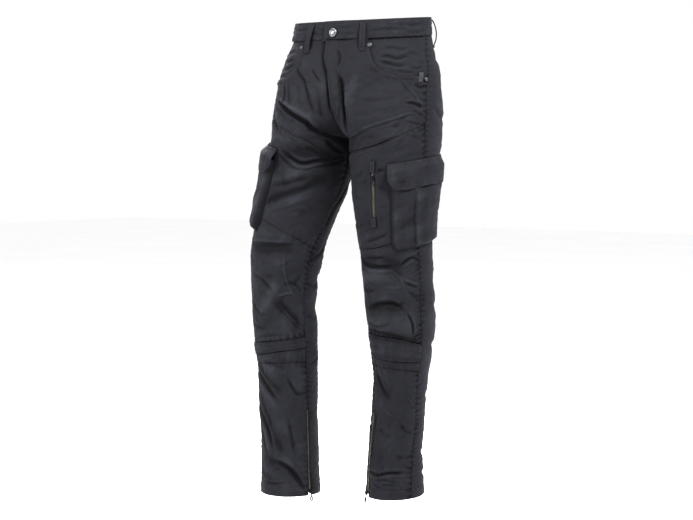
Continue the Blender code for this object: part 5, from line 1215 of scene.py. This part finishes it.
for side in SIDES:
    th = Threads()
    fine = np.linspace(0.012, 0.988, 220)
    # below the thigh seam and the seam above the knee
    for name, offs in (("thigh", (0.0022, 0.0080)), ("above_knee", (0.0022,))):
        for off in offs:
            pts, n = on_skin(side, fine, seam_z(side, name, fine) - off, 0.0001)
            th.row(pts, n)
    # the band's three lines, the strip's foot, the hem
    zt, zl = seam_z(side, "band_top", fine), seam_z(side, "band_bottom", fine)
    for sh in (0.10, 0.50, 0.88):
        pts, n = on_skin(side, fine, zt + (zl - zt) * sh, BAND_RAISE - 0.0006)
        th.row(pts, n)
    pts, n = on_skin(side, fine, seam_z(side, "strip_bottom", fine) - 0.0022, 0.0001)
    th.row(pts, n)
    pts, n = on_skin(side, fine, seam_z(side, "band_top", fine) + 0.0035, 0.0001)
    th.row(pts, n)
    hem_w = np.concatenate([np.linspace(0.012, 0.995, 160), np.linspace(1.005, 1.985, 170)])
    pts, n = on_skin(side, hem_w, np.full(hem_w.shape, Z_HEM + 0.0190), 0.0004)
    th.row(pts, n)
    # pocket mouth, two lines
    wm = np.linspace(0.335, 0.995, 260)
    zm = curve_through(POCKET_MOUTH["w"], POCKET_MOUTH["z"], wm)
    tx, tz = np.gradient(wm * W_LENGTH), np.gradient(zm)
    tl = np.hypot(tx, tz)
    for off in (0.0016, 0.0080):
        w2, z2 = wm + tz / tl * off / W_LENGTH, zm - tx / tl * off
        ok = (w2 > 0.25) & (w2 < 0.995) & (z2 < Z_WAIST_SEAM - 0.001)
        lift = 0.0004 + (0.0 if side == "R" else 0.0)
        pts, n = on_skin(side, w2[ok], z2[ok], lift - (0.0004 if side == "R" else 0.0))
        th.row(pts, n)
    # outside seam, one line on the back beside it, from the waist to the cargo pocket and below it to the hem
    zz = np.linspace(Z_WAIST_SEAM - 0.003, Z_HEM + 0.02, 500)
    pts, n = on_skin(side, np.full(zz.shape, 1.008), zz, 0.0001)
    up = CARGO[side]["raised"]
    for part_of in (zz > CARGO_FLAP_Z[0] + up + 0.004, zz < CARGO_BODY_Z[1] + up - 0.004):
        th.row(pts[part_of], n[part_of])
    # beside the hem zip, with an arch over its top
    arch = np.array([(0.040, z) for z in np.linspace(Z_HEM + 0.004, -0.838, 70)] + [(0.040 * math.cos(a), -0.838 + 0.020 * math.sin(a)) for a in np.linspace(0, math.pi / 2, 16)][1:])
    pts, n = on_skin(side, arch[:, 0], arch[:, 1], 0.0001)
    th.row(pts, n)
    other = np.array([(1.999 - 0.040 * math.sin(a), -0.838 + 0.020 * math.cos(a)) for a in np.linspace(0, math.pi / 2, 16)] + [(1.960, z) for z in np.linspace(-0.838, Z_HEM + 0.004, 70)][1:])
    pts, n = on_skin(side, other[:, 0], other[:, 1], 0.0001)
    th.row(pts, n)
    # cargo pocket and flap
    c = CARGO[side]
    def on_pocket(w, z, lift):
        zs = z + c["raised"] + CARGO_SLOPE * (w - 1.0)
        n = outward(side, w, zs)
        return S(side, w, zs) + n * np.asarray(lift)[..., None] if np.ndim(lift) else S(side, w, zs) + n * lift, n
    s = np.concatenate([np.full(14, -1.0), np.linspace(-1, 1, 90), np.full(14, 1.0)])
    t = np.concatenate([np.linspace(0.10, 0.90, 14), np.full(90, 0.90), np.linspace(0.90, 0.10, 14)])
    inset = 0.0062 / W_LENGTH
    cor = np.clip((t - 0.62) / 0.38, 0, 1) ** 1.3 * 0.060
    w = 0.97 + (0.288 - cor - inset) * s
    z = CARGO_FLAP_Z[0] + (CARGO_FLAP_Z[1] - CARGO_FLAP_Z[0]) * t
    pts, n = on_pocket(w, z, LIFT + (c["bulge"] + 0.0030) * smoothstep(t / 0.38) + 0.0008)
    th.row(pts, n)
    w = np.linspace(0.97 - 0.280, 0.97 + 0.280, 100)
    for tt in (0.045, 0.13):
        z = np.full(w.shape, CARGO_FLAP_Z[0] + (CARGO_FLAP_Z[1] - CARGO_FLAP_Z[0]) * tt)
        pts, n = on_pocket(w, z, LIFT + (c["bulge"] + 0.0030) * smoothstep(np.full(w.shape, tt) / 0.38) + 0.0009)
        th.row(pts, n)
    th.make("stitches_" + side, THREAD)

th = Threads()
for zz in (Z_TOP - 0.0034, Z_WAIST_SEAM + 0.0034):
    q = np.linspace(-0.07, 3.985, 900)
    base, n, _ = at(q, np.full(q.shape, zz))
    over = OVERLAP_LIFT * smoothstep((0.26 - q) / 0.16) * (q < 2)
    h = crease_field(BAND_CREASES, q, np.full(q.shape, zz), 0.235)
    th.row(base + n * (0.0008 + BAND_CLOTH / 2 + over + h - 0.0003)[:, None], n)
# end of the band beside the button
zz = np.linspace(Z_TOP - 0.0034, Z_WAIST_SEAM + 0.0034, 20)
base, n, _ = at(np.full(20, -0.066), zz)
th.row(base + n * (0.0008 + BAND_CLOTH / 2 + OVERLAP_LIFT + 0.0001), n)
# fly: edge line and hook
zz = np.linspace(-0.024, -0.176, 60)
ww = curve_through(FLY_EDGE["z"], FLY_EDGE["w"], zz) - 0.010
base, n, r = at(-ww, zz)
th.row(base + n * (r + SKIN + FLY_LIFT + 0.0001)[:, None], n)
for inset in (0.0, 0.026):
    zz = np.linspace(-0.023, -0.189 + inset * 0.3, 90)
    ww = np.where(zz > -0.150, 0.128 - inset, (0.128 - inset) * np.sqrt(np.clip(1 - ((-0.150 - zz) / (0.040 - inset * 0.3)) ** 2, 0.0, 1)))
    base, n, r = at(ww, zz)
    lift = FLY_LIFT * smoothstep(1 - ww / 0.16) * smoothstep((zz + 0.212) / 0.030)
    th.row(base + n * (r + SKIN + lift + 0.0001)[:, None], n)
# centre back seam, two lines on the left half
for ww in (1.992, 1.968):
    zz = np.linspace(-0.024, -0.236, 120)
    pts, n = on_skin("L", np.full(zz.shape, ww), zz, 0.0001)
    th.row(pts, n)
# belt loops: two lines, and a bar of close stitches at each end
for number, (side, w0, stand) in enumerate(LOOPS, 1):
    half = LOOP_WIDTH / 2 / 0.26
    zz = np.linspace(0.012, -0.045, 50)
    t = (0.013 - zz) / 0.060
    on_band, on_hip = 0.0008 + BAND_CLOTH / 2 + 0.0013, CLOTH / 2 + 0.0014
    lift = on_band + (on_hip - on_band) * smoothstep((t - 0.70) / 0.20) + stand * np.clip(np.sin(math.pi * np.clip(t / 0.93, 0, 1)), 0, 1) ** 0.75 + 0.0007
    slant = 0.035 * (t - 0.5) * (1 if (side, w0) == ("R", 0.245) else 0)
    for c in (-0.62, 0.62):
        if w0 == 2.0:
            base, n, _ = at(np.full(50, 2.0 + c * half), zz)
        else:
            base, n = S(side, w0 + c * half + slant, zz), outward(side, w0 + c * half + slant, zz)
        th.row(base + n * lift[:, None], n, 0.0022, 0.0008)
    for zb in (0.0105, -0.0435):
        for k in range(4):
            cc = np.linspace(-0.85, 0.85, 12)
            z_row = np.full(12, zb - 0.0006 * k)
            tt = (0.013 - z_row) / 0.060
            li = on_band + (on_hip - on_band) * smoothstep((tt - 0.70) / 0.20) + stand * np.clip(np.sin(math.pi * np.clip(tt / 0.93, 0, 1)), 0, 1) ** 0.75 + 0.0010
            sl = 0.035 * (tt - 0.5) * (1 if (side, w0) == ("R", 0.245) else 0)
            if w0 == 2.0:
                base, n, _ = at(2.0 + cc * half, z_row)
            else:
                base, n = S(side, w0 + cc * half + sl, z_row), outward(side, w0 + cc * half + sl, z_row)
            th.row(base + n * li[:, None], n, 0.0016, 0.0001, 0.0003, 0.0004)
th.make("stitches_waist", THREAD)

# ================================================================ zips
def boxes(name, frames, size, material, nodes):
    """Small rounded blocks, one for each frame (origin, across, up, out)."""
    v, f = [], []
    sx, sy, sz = (s / 2 for s in size)
    cut = 0.28
    ring = [(sx, -sy), (sx, sy), (-sx, sy), (-sx, -sy)]
    for o, a, u, n in frames:
        base = len(v)
        for hz, k in ((-sz, 1.0), (sz * 0.45, 1.0), (sz, 1 - cut)):
            for x, y in ring:
                v.append(tuple(o + a * x * k + u * y * k + n * hz))
        for lev in (0, 4):
            for k in range(4):
                j = (k + 1) % 4
                f.append((base + lev + k, base + lev + j, base + lev + 4 + j, base + lev + 4 + k))
        f.append((base + 8, base + 9, base + 10, base + 11))
        f.append((base + 3, base + 2, base + 1, base))
    mesh = bpy.data.meshes.new(name)
    mesh.from_pydata(v, [], f)
    bm = bmesh.new()
    bm.from_mesh(mesh)
    bmesh.ops.recalc_face_normals(bm, faces=bm.faces)
    bm.to_mesh(mesh)
    bm.free()
    mesh.materials.append(material)
    o = bpy.data.objects.new(name, mesh)
    bpy.context.scene.collection.objects.link(o)
    if nodes:
        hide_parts(*nodes)
    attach(o, "trousers")
    return o


def teeth_along(base, out, pitch=0.0016, apart=0.00075):
    run = np.concatenate([[0], np.cumsum(np.linalg.norm(np.diff(base, axis=0), axis=1))])
    n = int(run[-1] / pitch)
    got = []
    for k in range(n):
        s = (k + 0.5) * pitch
        o = np.array([np.interp(s, run, base[:, i]) for i in range(3)])
        b = np.array([np.interp(s + 0.001, run, base[:, i]) for i in range(3)])
        a0 = np.array([np.interp(s - 0.001, run, base[:, i]) for i in range(3)])
        nn = np.array([np.interp(s, run, out[:, i]) for i in range(3)])
        nn /= np.linalg.norm(nn)
        up = a0 - b
        up -= nn * (up @ nn)
        up /= np.linalg.norm(up)
        across = np.cross(up, nn)
        got.append((o + across * (apart if k % 2 else -apart) + nn * 0.0001, across, up, nn))
    return got


zs = np.linspace(THIGH_ZIP["slot_top"] + 0.002, THIGH_ZIP["slot_bottom"] - 0.004, 90)
zw = lambda z: THIGH_ZIP["w_top"] + (THIGH_ZIP["w_bottom"] - THIGH_ZIP["w_top"]) * (z - THIGH_ZIP["z_top"]) / (THIGH_ZIP["z_bottom"] - THIGH_ZIP["z_top"])
out = outward("L", zw(zs), zs)
base = S("L", zw(zs), zs) + out * (0.75 * 0.15 * folds("L", zw(zs), zs)[:, None] + 0.0004)
boxes("thigh_zip_teeth", teeth_along(base, out, 0.0019, 0.00135), (0.0042, 0.0013, 0.0016), TEETH, ["thigh_zip_chain"])
w = zw(zs)[:, None] + np.linspace(-1, 1, 7)[None, :] * 0.0085 / 0.26
z = np.repeat(zs[:, None], 7, 1)
b2, o2 = S("L", w, z), outward("L", w, z)
tape = grid_piece("thigh_zip_tape", b2 - o2 * 0.0016, o2, np.stack([w * W_LENGTH, z], -1), np.full(w.shape, 0.4), 0.0005, TAPE)
for label, z1, z2 in (("top", THIGH_ZIP["z_top"], THIGH_ZIP["slot_top"] - 0.0005), ("bottom", THIGH_ZIP["slot_bottom"] - 0.0005, THIGH_ZIP["z_bottom"])):
    zz = np.concatenate([[z1], np.linspace(z1 - 0.001, z2 + 0.001, 14), [z2]])
    g = np.array([-1, -0.9, -0.6, -0.3, 0, 0.3, 0.6, 0.9, 1.0]) * 0.0066 / 0.26
    z, gg = np.meshgrid(zz, g, indexing="ij")
    w = zw(z) + gg
    b2, o2 = S("L", w, z), outward("L", w, z)
    e = np.minimum(np.abs(z - z1), np.minimum(np.abs(z - z2), (0.0066 / 0.26 - np.abs(gg)) * 0.26))
    h = -0.0006 * np.exp(-((e - 0.0022) / 0.0009) ** 2) - 0.0005 * np.exp(-(e / 0.0007) ** 2) + 0.0005 * np.exp(-(gg * 0.26 / 0.0025) ** 2)
    # painted shadow round the garage's edges and a painted highlight just inside them
    ga = grid_piece("garage_cloth_" + label, b2 + o2 * (LIFT + 0.0009 + h)[..., None], o2, np.stack([w * W_LENGTH + 11, z + 2], -1),
                    0.58 - 0.58 * np.exp(-(e / 0.0012) ** 2) + 0.3 * np.exp(-((e - 0.0030) / 0.0010) ** 2), 0.0018, TWILL, "thigh_zip_garage_" + label)
for side in SIDES:
    zs = np.linspace(HEM_ZIP_TOP - 0.004, Z_HEM + 0.006, 150)
    o_a = outward(side, np.full(zs.shape, 0.004), zs) + outward(side, np.full(zs.shape, 1.996), zs)
    o_a /= np.linalg.norm(o_a, axis=1, keepdims=True)
    base = S(side, np.zeros(zs.shape), zs)
    boxes("hem_zip_teeth_" + side, teeth_along(base - o_a * 0.0002, o_a), (0.0029, 0.0011, 0.0014), TEETH, ["hem_zip_chain_" + side])
    cols = np.linspace(-1, 1, 7)
    unit = 0.24
    rows_p = []
    for c in cols:
        off = abs(c) * 0.0085 / unit
        rows_p.append(S(side, np.full(zs.shape, off if c >= 0 else 2 - off), zs) - o_a * 0.0016)
    p = np.stack(rows_p, 1)
    n3 = np.repeat(o_a[:, None, :], 7, 1)
    tape = grid_piece("hem_zip_tape_" + side, p, n3, np.stack([np.repeat(cols[None, :] * 0.008, len(zs), 0) + 12, np.repeat(zs[:, None], 7, 1) + 2], -1), np.full(p.shape[:2], 0.4), 0.0005, TAPE)

for name in ("thigh_zip_slider", "thigh_zip_pull"):
    o = frame["nodes"][name] if not isinstance(frame["nodes"], (list, tuple)) else bpy.data.objects[name]
    o.data.materials.clear()
    o.data.materials.append(DARK)
for side in SIDES:
    for name in ("hem_zip_%s_slider" % side, "hem_zip_%s_pull" % side):
        o = frame["nodes"][name] if not isinstance(frame["nodes"], (list, tuple)) else bpy.data.objects[name]
        o.data.materials.clear()
        o.data.materials.append(DARK)

def ring_on(name, node, body, pos, across, length, major, minor):
    """A round wire ring over the eye of a pull."""
    pos, across = Vector(pos), Vector(across).normalized()
    pts = [bpy.data.objects[node].matrix_world @ v.co for v in bpy.data.objects[node].data.vertices]
    middle = sum(pts, Vector()) / len(pts)
    hangs = middle - pos
    hangs = (hangs - across * hangs.dot(across)).normalized()
    face = across.cross(hangs)
    centre = pos + hangs * length
    v, f, n, m = [], [], 40, 12
    for i in range(n):
        a = math.tau * i / n
        d = across * math.cos(a) + hangs * math.sin(a)
        for j in range(m):
            b = math.tau * j / m
            v.append(tuple(centre + d * (major + minor * math.cos(b)) + face * minor * math.sin(b)))
    for i in range(n):
        for j in range(m):
            i2, j2 = (i + 1) % n, (j + 1) % m
            f.append((i * m + j, i2 * m + j, i2 * m + j2, i * m + j2))
    mesh = bpy.data.meshes.new(name)
    mesh.from_pydata(v, [], f)
    bm = bmesh.new()
    bm.from_mesh(mesh)
    bmesh.ops.recalc_face_normals(bm, faces=bm.faces)
    bm.to_mesh(mesh)
    bm.free()
    mesh.shade_smooth()
    mesh.materials.append(DARK)
    o = bpy.data.objects.new(name, mesh)
    bpy.context.scene.collection.objects.link(o)
    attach(o, body)


ring_on("hem_ring_R", "hem_zip_R_pull", "hem_pull_R", (-0.07908, -0.09112, -1.03273), (0.2068, 0.97837, 0.00515), 0.0175, 0.0040, 0.0013)
ring_on("hem_ring_L", "hem_zip_L_pull", "hem_pull_L", (0.01932, -0.01748, -1.03609), (0.8217, -0.56911, -0.03045), 0.0175, 0.0040, 0.0013)

# ================================================================ button, rivets, tag
def frame_at(side, w, z, lift):
    out = Vector(outward(side, w, z))
    origin = Vector(S(side, w, z)) + out * lift
    up = Vector(S(side, w, z + 0.002) - S(side, w, z - 0.002))
    up = (up - out * up.dot(out)).normalized()
    across = up.cross(out).normalized()
    return Matrix.Translation(origin) @ Matrix((across, up, out)).transposed().to_4x4()


def turned(name, side, w, z, lift, profile, material, node, around=64):
    """A round piece turned about its own Z."""
    at_ = frame_at(side, w, z, lift)
    pr = np.array(profile, float)
    run = np.concatenate([[0], np.cumsum(np.linalg.norm(np.diff(pr, axis=0), axis=1))])
    s = np.linspace(0, run[-1], 46)
    r, h = np.interp(s, run, pr[:, 0]), np.interp(s, run, pr[:, 1])
    v = []
    for k in range(len(s)):
        for j in range(around):
            a = math.tau * j / around
            v.append(at_ @ Vector((r[k] * math.cos(a), r[k] * math.sin(a), h[k])))
    f = []
    for k in range(len(s) - 1):
        for j in range(around):
            i = (j + 1) % around
            f.append((k * around + j, k * around + i, (k + 1) * around + i, (k + 1) * around + j))
    mesh = bpy.data.meshes.new(name)
    mesh.from_pydata([tuple(x) for x in v], [], f)
    bm = bmesh.new()
    bm.from_mesh(mesh)
    bmesh.ops.remove_doubles(bm, verts=bm.verts, dist=1e-6)
    bmesh.ops.recalc_face_normals(bm, faces=bm.faces)
    bm.to_mesh(mesh)
    bm.free()
    mesh.shade_smooth()
    mesh.materials.append(material)
    o = bpy.data.objects.new(name, mesh)
    bpy.context.scene.collection.objects.link(o)
    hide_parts(node)
    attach(o, "trousers")
    return o


band_face = 0.0008 + BAND_CLOTH / 2
turned("button_dome", "L", 0.022, -0.006, band_face + OVERLAP_LIFT + 0.0004,
       [(0, 0.0050), (0.0030, 0.0049), (0.0056, 0.0044), (0.0068, 0.0037), (0.0072, 0.0031), (0.0078, 0.0031), (0.0084, 0.0034), (0.0092, 0.0031),
        (0.0096, 0.0024), (0.0094, 0.0016), (0.0086, 0.0012), (0.0045, 0.0010), (0.0042, -0.0006), (0, -0.0006)], NICKEL, "waist_button")
for number, (side, w, z) in enumerate(RIVETS, 1):
    turned("rivet_cap_%d" % number, side, w, z, CLOTH / 2 + 0.0010 + float(relief(side, w, z)) * 0.5,
           [(0, 0.0022), (0.0014, 0.0021), (0.0020, 0.0016), (0.0024, 0.0010), (0.0030, 0.0009), (0.0040, 0.0012), (0.0046, 0.0008), (0.0047, 0.0002), (0.0044, -0.0006), (0, -0.0006)],
           RIVET, "rivet_%d" % number, 40)
zz = np.linspace(-0.0995, -0.1195, 22)
g = np.linspace(-1, 1, 15) * 0.0066 / 0.26
z, gg = np.meshgrid(zz, g, indexing="ij")
w = 0.888 + gg
b2, o2 = S("L", w, z), outward("L", w, z)
e = np.minimum(np.minimum(z[0, 0] - z, z - z[-1, 0]), (0.0066 / 0.26 - np.abs(gg)) * 0.26)
h = -0.0004 * np.exp(-((e - 0.0016) / 0.0007) ** 2)
tag = grid_piece("tag_cloth", b2 + o2 * (0.0031 + h)[..., None], o2, np.stack([w * W_LENGTH + 14, z + 2], -1), np.full(w.shape, 0.5), 0.0007, TAG, "pocket_tag")

# ================================================================ floor, light, camera
floor_mesh = bpy.data.meshes.new("floor")
floor_mesh.from_pydata([(-14, -14, 0), (14, -14, 0), (14, 14, 0), (-14, 14, 0)], [], [(0, 1, 2, 3)])
floor = bpy.data.objects.new("floor", floor_mesh)
bpy.context.scene.collection.objects.link(floor)
floor.location = (0, 0, -1.16)
fm, fnt, fb = nodes_of("floor_pale")
fc = fnt.nodes.new("ShaderNodeTexCoord").outputs["Object"]
link(fnt, ramp(fnt, noise(fnt, fc, 1.5), [(0.3, (0.955, 0.955, 0.955)), (0.7, (0.975, 0.975, 0.975))]), fb.inputs["Base Color"])
fb.inputs["Roughness"].default_value = 0.9
floor_mesh.materials.append(fm)

world = bpy.data.worlds.new("studio")
bpy.context.scene.world = world
world.use_nodes = True
bg = world.node_tree.nodes["Background"]
bg.inputs["Color"].default_value = (1.0, 1.0, 1.0, 1)
bg.inputs["Strength"].default_value = 1.0


def area_light(name, place, target, size, power, color=(1, 1, 1)):
    d = bpy.data.lights.new(name, "AREA")
    d.shape, d.size, d.energy, d.color = "SQUARE", size, power, color
    o = bpy.data.objects.new(name, d)
    bpy.context.scene.collection.objects.link(o)
    o.location = place
    o.rotation_euler = (Vector(target) - Vector(place)).to_track_quat("-Z", "Y").to_euler()
    return o


AZ, EL, DIST = math.radians(36), math.radians(3.7), 3.6
TARGET = Vector((-0.0309, -0.0224, -0.514))
toward = Vector((math.sin(AZ) * math.cos(EL), -math.cos(AZ) * math.cos(EL), math.sin(EL)))
right = Vector((math.cos(AZ), math.sin(AZ), 0))
area_light("key", TARGET + toward * 1.9 + right * 1.3 + Vector((0, 0, 2.3)), TARGET, 0.9, 190)
area_light("side", TARGET + toward * 1.0 + right * -2.3 + Vector((0, 0, 1.3)), TARGET, 1.0, 80)
area_light("back", TARGET - toward * 2.4 + right * -0.6 + Vector((0, 0, 1.6)), TARGET, 1.4, 60)

cam_data = bpy.data.cameras.new("camera")
cam_data.sensor_width, cam_data.lens = 36.0, 1602.8 * 36 / 693
cam = bpy.data.objects.new("camera", cam_data)
bpy.context.scene.collection.objects.link(cam)
cam.location = TARGET + toward * DIST
cam.rotation_euler = (-toward).to_track_quat("-Z", "Y").to_euler()
bpy.context.scene.camera = cam
bpy.context.scene.view_settings.view_transform = "Standard"
bpy.context.scene.view_settings.gamma = 0.72

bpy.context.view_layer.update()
